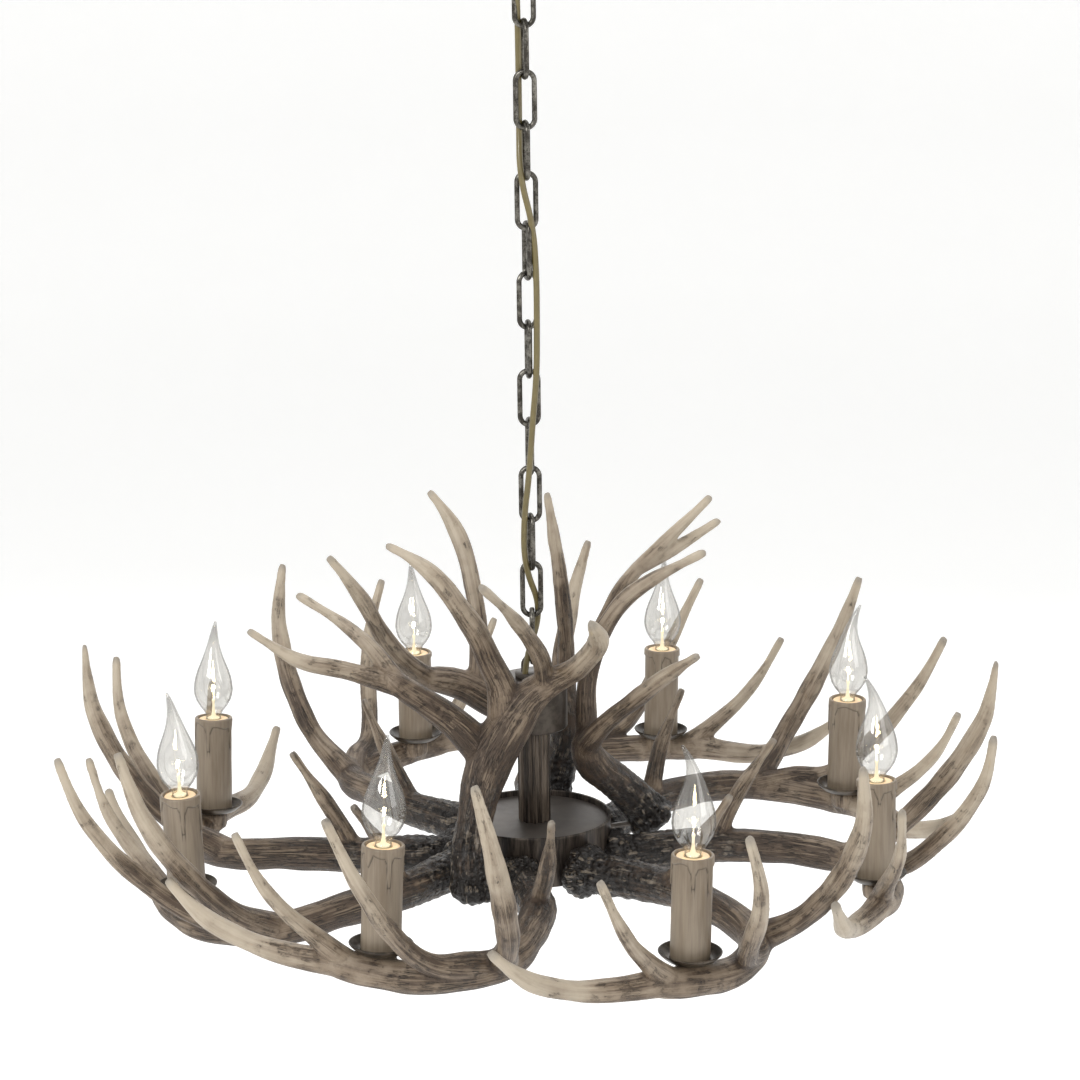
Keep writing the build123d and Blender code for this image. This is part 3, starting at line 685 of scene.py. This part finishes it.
def antlerMesh(name, branches, burr, seed, ageLength=400):
    # every branch is a tube, fused with the burr; then each vertex learns where it lies
    # along and around its nearest branch, which drives both the relief and the colour
    parts, samples = [], []
    for branch, (points, radii, begin) in enumerate(branches):
        tube, more = branchTube(branch, points, radii, begin)
        parts.append(tube)
        samples += more
    burrCentre, axis, burrRadius, thick = burr
    burrCentre = np.array(burrCentre, float)
    axis = np.array(axis, float) / np.linalg.norm(axis)
    path = np.array([burrCentre + axis * (thick * share) for share, _ in burrRings])
    parts.append(closedTube(path * mm, np.array([width for _, width in burrRings]) * burrRadius * mm, 20))
    made = fused(name, parts)
    tree = KDTree(len(samples))
    for k, sample in enumerate(samples):
        tree.insert(Vector(sample[0]), k)
    tree.balance()
    co = readPoints(made)
    count = len(co)
    normals = np.empty(count * 3)
    made.vertex_normals.foreach_get("vector", normals)
    normals = normals.reshape(-1, 3)
    pit = hollowness(made, co, normals)
    grain = np.zeros((count, 3))
    age, push, creaseAndUnderShade, bleach, tip, join = (np.zeros(count) for _ in range(6))
    for i in range(count):
        nearest = {}
        for _, k, d in tree.find_n(Vector(co[i]), 14):
            share = d / samples[k][1]
            if share < nearest.get(samples[k][7], (9, 0))[0]:
                nearest[samples[k][7]] = (share, k)
        (far, best), *others = sorted(nearest.values())
        join[i] = max(0.0, 1.0 - (others[0][0] - far) / 0.6) if others else 0.0
        centre, width, gone, side, up, tangent, left, _ = samples[best]
        off = co[i] - centre
        turn = math.atan2(off @ up, off @ side)
        along = gone * mm + off @ tangent
        old = max(0.0, 1.0 - along / (ageLength * mm))
        grain[i] = (width * 1.5 * math.cos(turn), width * 1.5 * math.sin(turn), along)
        spot = Vector((grain[i][0] * 175, grain[i][1] * 175, along * 13 + seed))
        ridge = noise.noise(spot) * 0.6 + noise.noise(spot * 2.1) * 0.4
        lumps = antlerShape["lump"] * noise.noise(Vector(co[i]) * 36.0)
        stout = min(1.0, width / 0.007)
        grooves = antlerShape["groove"] * ridge * (0.45 + 1.6 * old) * stout * (1 - join[i])
        push[i] = grooves + lumps * stout
        crease = max(0.0, -ridge) * (0.5 + old) * (1 - join[i])
        # high in the forks and creases, plus painted shade on the faces that look down (the last term)
        creaseAndUnderShade[i] = unit(0.8 * pit[i] + crease + 0.3 * max(0.0, -normals[i][2]))
        age[i] = old
        left -= (off @ tangent) / mm
        bleach[i] = unit(1.0 - left / antlerShape["bleach"])
        tip[i] = unit(1.0 - left / antlerShape["tipMark"])
    fromBurr = np.linalg.norm(co - burrCentre * mm, axis=1)
    burrAge = np.clip(1.9 - fromBurr / (burrRadius * mm * 1.2), 0, 1)
    age = np.clip(np.maximum(meanAround(made, age, 8) * 0.93, burrAge * 0.97), 0, 1)
    push = meanAround(made, push, 1)
    for i in np.nonzero(age > antlerShape["oldFrom"])[0]:
        cell = noise.voronoi(Vector(co[i]) * 150.0)[0][0]
        pearl = max(0.0, 1.0 - (cell / 0.62) ** 2)
        knot = antlerShape["knot"] * noise.noise(Vector(co[i]) * 70.0)
        share = min(1.0, (age[i] - antlerShape["oldFrom"]) / 0.3)
        push[i] += share ** 1.6 * (antlerShape["pearl"] * pearl + knot)
        creaseAndUnderShade[i] = min(1.0, creaseAndUnderShade[i] * (1 - 0.5 * share) + share * (0.55 - pearl))
    made.vertices.foreach_set("co", (co + normals * push[:, None]).reshape(-1))
    creaseAndUnderShade, bleach = np.clip(creaseAndUnderShade, 0, 1), meanAround(made, bleach, 14)
    marks = {"grain": grain, "age": age, "creaseAndUnderShade": creaseAndUnderShade, "bleach": bleach, "tip": tip, "join": join}
    for label, values in marks.items():
        setMark(made, label, values)
    made.materials.clear()
    made.materials.append(finishes["antler"])
    made.update()
    return made


# metres, except the first two
antlerFit = {
    "wallGap": 0.3,     # mm off the drum's wall
    "wallTop": 21,      # mm over the candle plane
    "seatRadius": 0.0205,
    "seatLevel": -0.0018,
    "seatReach": 0.02,
    "boxEase": 0.005,
}


def keepOff(mesh, seat=None):
    # the antler's end follows the drum's wall, and its seat stays under the pan
    co = readPoints(mesh)
    reach = np.hypot(co[:, 0], co[:, 1])
    wall = (drumRadius + antlerFit["wallGap"]) * mm
    inside = (reach < wall) & (co[:, 2] < (candlePlane + antlerFit["wallTop"]) * mm)
    co[inside, :2] *= (wall / np.maximum(reach[inside], 1e-6))[:, None]
    if seat is not None:
        back, out = np.array(seat.inverted()), np.array(seat)
        local = co @ back[:3, :3].T + back[:3, 3]
        near = np.hypot(local[:, 0] - ringRadius * mm, local[:, 1]) < antlerFit["seatRadius"]
        near &= (local[:, 2] > antlerFit["seatLevel"]) & (local[:, 2] < antlerFit["seatReach"])
        local[near, 2] = antlerFit["seatLevel"]
        co[near] = local[near] @ out[:3, :3].T + out[:3, 3]
    # ease the last few millimetres in, so that lumps stay inside the solids' box
    soft = antlerFit["boxEase"]
    for axis in range(3):
        for sign, edge in ((1, cadBounds[1][axis]), (-1, cadBounds[0][axis])):
            beyond = sign * (co[:, axis] - edge) + soft
            past = beyond > 0
            co[past, axis] -= sign * (beyond[past] - soft * (1 - np.exp(-beyond[past] / soft)))
    mesh.vertices.foreach_set("co", co.reshape(-1))
    mesh.update()


def antlerPiece(name, mesh, node, place, seat=None):
    mesh.name = name
    mesh.transform(place)
    keepOff(mesh, seat)
    fit(inScene(name, mesh), "fixture", "antler_resin", node)


# Branches: points (mm), radii spread over them, length already gone from the burr
# Burr: centre, axis, radius, half thickness
ring = ringRadius
lowerMould = {
    "branches": [
        ([(68, 15, -14), (ring * 0.473, 65, -10), (ring * 0.66, 80, -11), (ring - 49, 81, -16), (ring + 1, 30, -19),
          (ring + 13, -35, -13)], (17.5, 15.5, 14.5, 13.5, 13, 12), 0),
        ([(ring + 4, 10, -17), (ring + 13, -33, -13), (ring + 11, -90, -12), (ring + 18, -146, 8),
          (ring + 22, -178, 36)], (12.5, 11.5, 8.8, 7.6, 2.6), 330),
        ([(ring - 46, 78, -15), (ring - 12, 63, -8), (ring + 13, 44, 0), (ring + 77, 21, 68),
          (ring + 100, -3, 132)], (12, 10.8, 9, 7, 2.6), 240),
        ([(ring - 52, 82, -14), (ring - 26, 94, 2), (ring - 3, 106, 22), (ring + 52, 117, 97),
          (ring + 73, 106, 166)], (12.5, 11, 9.8, 8.6, 2.6), 235),
        ([(ring + 10, -18, -14), (ring + 22, -45, 8), (ring + 43, -77, 45), (ring + 53, -103, 94)],
         (10.5, 8.5, 6, 2.4), 350),
        ([(ring * 0.466, 62, -10), (ring * 0.49, 70, 14), (ring * 0.533, 80, 42), (ring * 0.613, 92, 84)],
         (10.5, 8.4, 6.8, 2.4), 100),
        ([(ring, 0, -18), (ring, 0, -8), (ring, 0, -1.8)], (11, 12.5, 12), 300),
    ],
    "burr": ((71, 16, -14), (0.906, 0.423, 0), 22, 9),
    "ageLength": 540,
    "seed": 7,
}
mould = antlerMesh("lowerMould", **lowerMould)
for number in arms:
    place = armMatrix(number)
    antlerPiece(f"lowerAntler{number}", mould.copy(), f"lower_antler_{number}", place, place)
print("lower antlers", len(mould.polygons), "faces each")

upperAntlers = {
    "front": ([
        ([(-53, -102, -16), (-54, -92, 20), (-48, -80, 55), (-36, -66, 92), (-20, -63, 120), (-4, -62, 143),
          (13, -62, 156), (31, -72, 168), (45, -88, 185), (55, -108, 205), (48, -140, 230)],
         (18.5, 16.5, 16.5, 20, 19.5, 16, 13, 10.5, 9.5, 8.5, 4.4), 0),
        ([(-38, -66, 82), (-50, -63, 104), (-74, -60, 128), (-105, -65, 152), (-118, -65, 163)],
         (11, 14.5, 13, 10.5, 9.5), 100),
        ([(-112, -65, 158), (-144, -40, 191), (-200, -18, 225)], (8.8, 7, 2.4), 220),
        ([(-108, -65, 155), (-162, -60, 170), (-195, -65, 180), (-238, -68, 208)], (9.4, 8.2, 7, 2.4), 215),
        ([(-26, -65, 112), (-24, -62, 134), (-27, -62, 157), (-37, -64, 179), (-46, -70, 203), (-59, -75, 225),
          (-84, -75, 258), (-121, -65, 279)], (12, 15, 12.5, 11, 10.3, 9.5, 7.5, 2.4), 130),
        ([(8, -63, 152), (8, -74, 178), (-10, -100, 218), (-41, -155, 266)], (9, 8.5, 6.5, 2.4), 220),
    ], ((-50, -101, -13), (0, 0.1, 1), 20, 8), 21),
    "right": ([
        ([(105, 38, 0), (75, 25, 37), (49, 0, 68), (44, -8, 92)], (18, 16, 15, 12), 0),
        ([(44, -6, 80), (57, -30, 106), (86, -60, 140), (111, -85, 168), (137, -110, 193)],
         (11, 9, 8, 7, 2.4), 110),
        ([(44, -6, 84), (46, 0, 104), (47, 10, 137), (57, 15, 174)], (11, 9.6, 9, 8.6), 110),
        ([(54, 14, 168), (76, 15, 203), (104, 20, 224), (151, 40, 243)], (8, 7.4, 6.6, 2.4), 210),
        ([(53, 16, 166), (74, 45, 202), (96, 66, 226)], (8, 7.5, 7), 210),
        ([(92, 63, 222), (124, 80, 249), (159, 90, 281)], (7, 6, 2.4), 280),
        ([(92, 63, 222), (131, 85, 238), (167, 100, 257)], (7, 6, 2.4), 280),
    ], ((102, 37, 3), (-0.6, -0.2, 0.75), 20, 8), 33),
    "back": ([
        ([(13, 95, 9), (24, 92, 40), (30, 86, 70), (29, 80, 102)], (17, 16, 14.5, 13), 0),
        ([(29, 82, 90), (30, 80, 145), (27, 80, 191), (22, 80, 236), (14, 80, 289)],
         (10, 8, 7.2, 6.5, 2.4), 110),
        ([(26, 84, 84), (-30, 80, 95), (-61, 80, 113), (-94, 79, 121)], (14, 15, 14, 11), 100),
        ([(-88, 80, 118), (-124, 60, 154), (-148, 50, 201), (-177, 45, 242)], (10, 8.7, 7.4, 2.4), 210),
        ([(-50, 80, 110), (-48, 100, 150), (-54, 120, 199), (-70, 140, 245), (-92, 150, 275)],
         (10, 9, 8.2, 7.5, 2.4), 180),
    ], ((13.5, 95, 12), (0.2, -0.1, 1), 20, 8), 45),
}
for side, (branches, burr, seed) in upperAntlers.items():
    name = f"upperAntler{side.capitalize()}"
    mesh = antlerMesh(name, branches, burr, seed)
    antlerPiece(name, mesh, f"upper_antler_{side}", Matrix.Translation((0, 0, candlePlane * mm)))
    print(name, len(mesh.polygons), "faces")

# lengths in mm over the pan's floor
candle = {
    "sleeve": 16.0, "bore": 14.4, "height": 85.0, "lip": 17.1, "turns": 160, "rows": 120, "drips": 7,
    "flare": 1.2,       # height of the rounded rim
    "uneven": 0.12,
    "boreRows": (85.0, 82.0, 0.4, 0.0),
}
panProfile = [
    (5.1, -1.5), (17.0, -1.5), (19.0, -1.4), (22.0, 0.9), (24.4, 3.2), (25.4, 4.5), (25.5, 5.1), (25.1, 5.5),
    (24.6, 5.3), (24.0, 4.4), (21.3, 2.2), (18.3, 0.2), (17.3, 0.0), (5.1, 0.0), (5.1, -1.5),
]
holderProfile = [
    (0.1, -9.0), (5.0, -9.0), (5.0, 50.0), (12.6, 50.0), (13.4, 50.8), (13.4, 82.6), (13.0, 83.6), (12.0, 84.0),
    (8.0, 84.0), (7.3, 83.4), (7.3, 56.7), (0.1, 56.7), (0.1, -9.0),
]


def dripLine(turn, seed):
    # how far below the top the wax has run, round the sleeve
    depth = 6.0 + 1.6 * math.sin(2 * turn + seed) + 1.1 * math.sin(5 * turn + seed * 2.3)
    for k in range(candle["drips"]):
        centre = 2 * math.pi * k / candle["drips"] + 0.5 * math.sin(seed * 3 + k * 2.1)
        away = math.atan2(math.sin(turn - centre), math.cos(turn - centre))
        length = 12.0 + 20.0 * abs(math.sin(seed * 1.7 + k * 1.3))
        depth = max(depth, length - (away * 16 / 1.25) ** 4 * 4, 15.0 - abs(away * 16) ** 1.15 * 1.8)
    return depth


def sleeveMesh(seed):
    turns, rows, tube = candle["turns"], candle["rows"], candle["sleeve"]
    angles = [2 * math.pi * k / turns for k in range(turns)]
    verts, grain, edge = [], [], []

    def point(radius, turn, height, drip):
        verts.append((radius * math.cos(turn) * mm, radius * math.sin(turn) * mm, height * mm))
        grain.append((tube * mm * math.cos(turn), tube * mm * math.sin(turn), height * mm))
        edge.append(drip)

    for height in [candle["height"] * (k / rows) ** 0.9 for k in range(rows + 1)]:
        below = candle["height"] - height
        for turn in angles:
            slope = (dripLine(turn + 0.01, seed) - dripLine(turn - 0.01, seed)) / (0.02 * tube)
            over = (dripLine(turn, seed) - below) / math.hypot(1.0, slope)
            rise = min(1.0, max(0.0, over / 0.7)) ** 0.5
            radius = tube + (candle["lip"] - tube) * rise * (0.8 + 0.2 * min(1.0, below / 6.0))
            if below < candle["flare"]:
                radius -= 0.5 * (candle["flare"] - below) ** 2
            spot = Vector((math.cos(turn) * 4, math.sin(turn) * 4, height * 0.05 + seed))
            radius += candle["uneven"] * noise.noise(spot)
            # the last value marks painted shade just under the lower edge of each drip
            point(radius, turn, height, max(0.0, 1.0 - abs(over + 0.25) / 0.6) * 0.95)
    for height in candle["boreRows"]:
        for turn in angles:
            point(candle["bore"] + 0.05, turn, height, 0.0)
    total = rows + 1 + len(candle["boreRows"])
    return verts, bandFaces(turns, range(total), total), grain, edge


for number in arms:
    verts, faces, grain, edge = sleeveMesh(number * 1.37)
    piece = newPiece(f"candleSleeve{number}", placed(candleMatrix(number), (verts, faces)), "sleeve")
    setMark(piece.data, "grain", grain)
    setMark(piece.data, "dripEdgeShade", edge)
    fit(piece, "fixture", "sleeve_card", f"candle_sleeve_{number}")

for name, profile, turns, finish, slot, node in (
    ("dripPans", panProfile, 64, "pan", "pan_bronze", "drip_pans"),
    ("lampHolders", holderProfile, 48, "holder", "lampholder", "lampholders"),
):
    turned = latheData(profile, turns)
    piece = newPiece(name, joined(*[placed(candleMatrix(number), turned) for number in arms]), finish)
    fit(piece, "fixture", slot, node)
print("sleeves, pans and lampholders made")

# mm over the pan's floor; the glass's rows are shares of its length and radii
bulb = {
    "glassLow": 84.0, "glassLength": 89.0, "glassTurns": 48, "wall": 0.8,
    "glass": [
        (0.0, 6.4), (0.04, 6.7), (0.08, 8.6), (0.13, 12.2), (0.19, 15.3), (0.25, 17.0), (0.3, 17.5), (0.36, 17.1),
        (0.43, 15.9), (0.5, 13.9), (0.57, 11.4), (0.64, 9.0), (0.71, 6.9), (0.78, 5.2), (0.85, 3.9), (0.91, 2.9),
        (0.96, 2.0), (1.0, 1.0),
    ],
    "bendFrom": 0.62,
    "lean": {1: 2.0, 2: 2.5, 3: 4.5, 4: -1.5, 5: 10.5, 6: 10.0, 7: 9.0, 8: -1.0},  # of each tip
    "neckFrom": 150.0, "neckLength": 12.0, "threads": 7, "threadPitch": 2.4,
    "foot": [
        (0.1, 83.0), (6.2, 83.0), (6.2, 84.4), (4.6, 85.0), (2.2, 86.6), (1.5, 90.0), (1.1, 96.0), (1.1, 99.0),
        (1.7, 100.4), (1.1, 101.6), (0.1, 101.8),
    ],
    "wireTurn": 1.57, "wireSpread": 5.2, "wireRadius": 0.22,
    "filamentRadius": 0.48, "coil": 0.9, "coilSteps": 41,
}


def glassMesh(bend, reach):
    # an outer and an inner skin, joined round the open neck and closed at the tip
    outer, turns = bulb["glass"], bulb["glassTurns"]
    inner = [(share + 0.002, max(r - bulb["wall"] if r > 2 else r * 0.6, 0.3)) for share, r in reversed(outer[:-1])]
    verts = []
    for share, r in outer + inner:
        lean = reach * max(0.0, (share - bulb["bendFrom"]) / (1 - bulb["bendFrom"])) ** 2.0
        for k in range(turns):
            turn = 2 * math.pi * k / turns
            x, y = r * math.cos(turn) + lean * math.cos(bend), r * math.sin(turn) + lean * math.sin(bend)
            verts.append((x * mm, y * mm, (bulb["glassLow"] + bulb["glassLength"] * share) * mm))
    first, total = len(outer), len(outer) + len(inner)
    tip = tuple((first - 1) * turns + k for k in range(turns))
    innerTip = tuple(reversed([first * turns + k for k in range(turns)]))
    faces = bandFaces(turns, range(first - 1), total) + [tip]
    faces += bandFaces(turns, range(first, total - 1), total) + [innerTip]
    return verts, faces + bandFaces(turns, [total - 1], total)


def capProfile():
    # the cap's rolled thread between its plug and its collar
    rows = [(0.1, 57.0), (3.5, 57.0), (5.0, 59.5)]
    for k in range(bulb["threads"]):
        rows += [(6.1, 60.5 + k * bulb["threadPitch"]), (6.9, 61.7 + k * bulb["threadPitch"])]
    return rows + [(6.6, 79.0), (7.0, 80.5), (7.0, 84.0), (6.4, 84.0), (6.2, 82.5), (0.1, 82.5)]


def footParts(across):
    # the glass foot and the two wires that hold the filament
    parts = [latheData(bulb["foot"], 20)]
    for side in (-1, 1):
        a, b = across * 1.0 * side, across * bulb["wireSpread"] * side
        line = [(a.x, a.y, 99), (b.x * 0.6, b.y * 0.6, 102), (b.x, b.y, 108), (b.x, b.y, 110)]
        parts.append(wireMesh(line, bulb["wireRadius"], 6))
    return joined(*parts)


def filamentLine(across):
    points = []
    for k in range(bulb["coilSteps"]):
        share = k / (bulb["coilSteps"] - 1)
        middle = across * (bulb["wireSpread"] - 2 * bulb["wireSpread"] * share)
        height = 110.0 + 3.4 * abs(math.sin(2 * math.pi * share)) ** 0.7
        x, y = bulb["coil"] * math.cos(k * 1.9), bulb["coil"] * math.sin(k * 1.9)
        points.append((middle.x + x, middle.y + y, height))
    return points


for number in arms:
    body, place = f"bulb_{number}", candleMatrix(number)
    bearing = math.radians(armBearing(number))
    bend = -bearing if number in (2, 7) else math.pi - bearing  # the tips' bends as the photograph has them
    glass = glassMesh(bend, bulb["lean"][number])
    piece = newPiece(f"bulbGlass{number}", placed(place, glass), "glass")
    # the neck mark covers the thin tip from 150 mm up, where some painted dark reflection is added
    neck = [unit((v[2] / mm - bulb["neckFrom"]) / bulb["neckLength"]) for v in glass[0]]
    setMark(piece.data, "neck", neck)
    fit(piece, body, "bulb_glass", f"bulb_glass_{number}")
    cap = newPiece(f"bulbCap{number}", placed(place, latheData(capProfile(), 32)), "cap")
    fit(cap, body, "cap_brass", f"bulb_base_{number}")
    across = Vector((math.cos(bend + bulb["wireTurn"]), math.sin(bend + bulb["wireTurn"]), 0))
    # the foot and its wires carry painted glow from the filament
    fit(newPiece(f"bulbFoot{number}", placed(place, footParts(across)), "mount"), body, "bulb_glass")
    coil = wireMesh(filamentLine(across), bulb["filamentRadius"], 6)
    fit(newPiece(f"bulbFilament{number}", placed(place, coil), "filament"), body, "bulb_glass")
print("bulbs made")

# turned pieces: finish, slot, node, body, height of their zero, turns, then (radius, height) rows in mm
turnedPieces = {
    "hubDrum": ("drum", "drum_bronze", "drum", "fixture", candlePlane, 160, [
        (5.1, -25), (65.7, -25), (66.5, -24.2), (66.5, 17.2), (66.9, 18.0), (66.9, 19.2), (66.2, 20.0),
        (65.2, 20.0), (64.5, 19.2), (64.5, -23), (5.1, -23), (5.1, -25)]),
    "hubCover": ("cover", "cover_bronze", "drum_cover", "fixture", candlePlane, 128, [
        (5.1, 13), (64.3, 13), (64.3, 14.6), (63.9, 15), (5.1, 15), (5.1, 13)]),
    "upperCan": ("bronze", "bronze", "upper_can", "fixture", candlePlane, 96, [
        (5.1, 100), (28.6, 100), (29.5, 100.9), (29.5, 142.5), (28, 142.5), (28, 101.5), (5.1, 101.5), (5.1, 100)]),
    "canLid": ("bronze", "bronze", "can_lid", "fixture", candlePlane, 96, [
        (5.1, 142.6), (29.5, 142.6), (29.5, 143.4), (28.9, 144), (5.1, 144), (5.1, 142.6)]),
    "bottomNut": ("bronze", "bronze", "bottom_nut", "fixture", candlePlane, 48, [
        (5.1, -25.1), (12.4, -25.1), (12.8, -25.6), (12.8, -28.0), (11.6, -28.8), (10.0, -30.6), (8.2, -32.8),
        (6.4, -34.8), (4.6, -36.0), (2.2, -36.9), (0.1, -37), (0.1, -31.5), (5.1, -31.5), (5.1, -25.1)]),
    "ceilingCanopy": ("bronze", "bronze", "ceiling_canopy", "ceiling_mount", 0, 96, [
        (5.1, -28), (26.0, -28), (27.6, -27.2), (44.0, -17.4), (58.6, -9.0), (60, -7.6), (60, -0.4), (59.6, 0.0),
        (58.8, 0.0), (58.8, -7.9), (26.8, -26.8), (5.1, -26.8), (5.1, -28)]),
}
for name, (finish, slot, node, body, base, turns, profile) in turnedPieces.items():
    piece = newPiece(name, latheData(profile, turns, base), finish)
    sharpen(piece.data, 35)
    fit(piece, body, slot, node)

# mm; the rows are (height over the candle plane, share of the radius)
stem = {
    "radius": 14.0,
    "flutes": 12,
    "fluteDepth": 1.8,
    "fluteHalf": 0.34,  # of the step from flute to flute
    "turns": 240,
    "rows": [(15.0, 0.97), (16.0, 1.0), (99.0, 1.0), (100.0, 0.97)],
}


def stemMesh():
    # a round bar with hollow flutes between narrow fillets
    turns, rows = stem["turns"], stem["rows"]
    verts = []
    for height, share in rows:
        for k in range(turns):
            turn = 2 * math.pi * k / turns
            wave = (turn * stem["flutes"] / (2 * math.pi)) % 1.0
            cut = max(0.0, 1 - ((wave - 0.5) / stem["fluteHalf"]) ** 2)
            r = (stem["radius"] - stem["fluteDepth"] * cut ** 0.6) * share
            verts.append((r * math.cos(turn) * mm, r * math.sin(turn) * mm, (height + candlePlane) * mm))
    last = len(rows) - 1
    ends = [tuple(reversed(range(turns))), tuple(range(last * turns, (last + 1) * turns))]
    return verts, bandFaces(turns, range(last), len(rows)) + ends


piece = newPiece("flutedStem", stemMesh(), "stem")
sharpen(piece.data, 40)
fit(piece, "fixture", "bronze", "fluted_stem")

loopShape = {"leg": 7.6, "wire": 2.5, "bowPoints": 17, "wireSides": 16, "collarTurns": 64}  # mm


def collarLoop(name, origin, up, alongX, collarHeight, barHeight, node, body):
    # a wire ring on a flat collar
    leg, wire = loopShape["leg"], loopShape["wire"]
    collar = latheData([
        (5.1, -collarHeight), (14.7, -collarHeight), (15.3, -collarHeight + 0.7), (15.3, -0.8), (14.6, 0), (0.1, 0),
        (0.1, -0.5), (5.1, -0.6), (5.1, -collarHeight)], loopShape["collarTurns"])
    straight = barHeight + wire - leg
    turns = np.linspace(0, math.pi, loopShape["bowPoints"])
    bow = [(leg * math.cos(turn), 0, straight + leg * math.sin(turn)) for turn in turns]
    path = [(leg, 0, -0.5), (leg, 0, straight * 0.5), *bow, (-leg, 0, straight * 0.5), (-leg, 0, -0.5)]
    verts, faces = joined(collar, wireMesh(path, wire, loopShape["wireSides"]))
    axes = Matrix((alongX, up.cross(alongX), up)).transposed()
    piece = newPiece(name, ([Vector(origin) * mm + axes @ Vector(v) for v in verts], faces), "bronze")
    sharpen(piece.data, 50)
    fit(piece, body, "bronze", node)


collarLoop("hubLoop", (0, 0, candlePlane + 149), Vector((0, 0, 1)), Vector((1, 0, 0)), 5, 10.9, "hub_loop", "fixture")
collarLoop("canopyLoop", (0, 0, -34), Vector((0, 0, -1)), Vector((0, 1, 0)), 6, 22.3, "canopy_loop", "ceiling_mount")
print("hub and canopy made")

# metres; the lamps' rows are place, size and power
studioLook = {
    "tone": 0.76,
    "glow": 0.44,
    "world": 0.31,
    "worldColour": (1.0, 0.995, 0.98),
    "floorDrop": 0.6,
    "turns": 96,
    "floor": [(0.01, 0), (3.0, 0), (7.0, 0), (8.2, 0.35), (9.0, 1.3), (9.3, 3.0), (9.3, 7.0)],
    "lamps": {
        "keyLight": ((-1.6, -2.2, 1.1), 1.1, 50),
        "fillLight": ((2.2, -1.8, 0.2), 1.6, 12),
        "topLight": ((0.2, 0.4, 1.7), 1.8, 30),
        "backLight": ((0.3, 2.4, 0.4), 2.0, 14),
    },
}


def paperFinish():
    f = Finish("studioPaper")
    tone = studioLook["tone"]
    speck = f.noise(f.point(), 3.0, 2.0)
    paper = f.mix(speck, rgba(tone - 0.01, tone - 0.01, tone - 0.015), rgba(tone + 0.01, tone + 0.01, tone + 0.005))
    return f.surface(Base_Color=paper, Roughness=0.95, Emission_Color=rgba(1, 1, 0.995),
                     Emission_Strength=studioLook["glow"])


def studio():
    # a wide pale floor that turns up into a wall far off, under soft light
    low, turns = cadBounds[0][2] - studioLook["floorDrop"], studioLook["turns"]
    rings = [ringPoints(radius, low + rise, turns) for radius, rise in studioLook["floor"]]
    faces = [tuple(reversed(face)) for face in bandFaces(turns, range(len(rings) - 1), len(rings))]
    mesh = newMesh("studioFloor", ([v for ring in rings for v in ring], faces + [tuple(range(turns))]))
    mesh.materials.append(paperFinish())
    inScene("studioFloor", mesh)
    centre = Vector((0, 0, candlePlane * mm))
    for name, (place, size, power) in studioLook["lamps"].items():
        light = bpy.data.lights.new(name, "AREA")
        light.energy = power
        light.size = size
        lamp = inScene(name, light)
        lamp.location = place
        lamp.rotation_euler = (centre - Vector(place)).to_track_quat("-Z", "Y").to_euler()
    world = bpy.data.worlds.new("studioWorld")
    world.use_nodes = True
    background = world.node_tree.nodes["Background"].inputs
    background[0].default_value = rgba(*studioLook["worldColour"])
    background[1].default_value = studioLook["world"]
    bpy.context.scene.world = world


studio()
print("studio made")
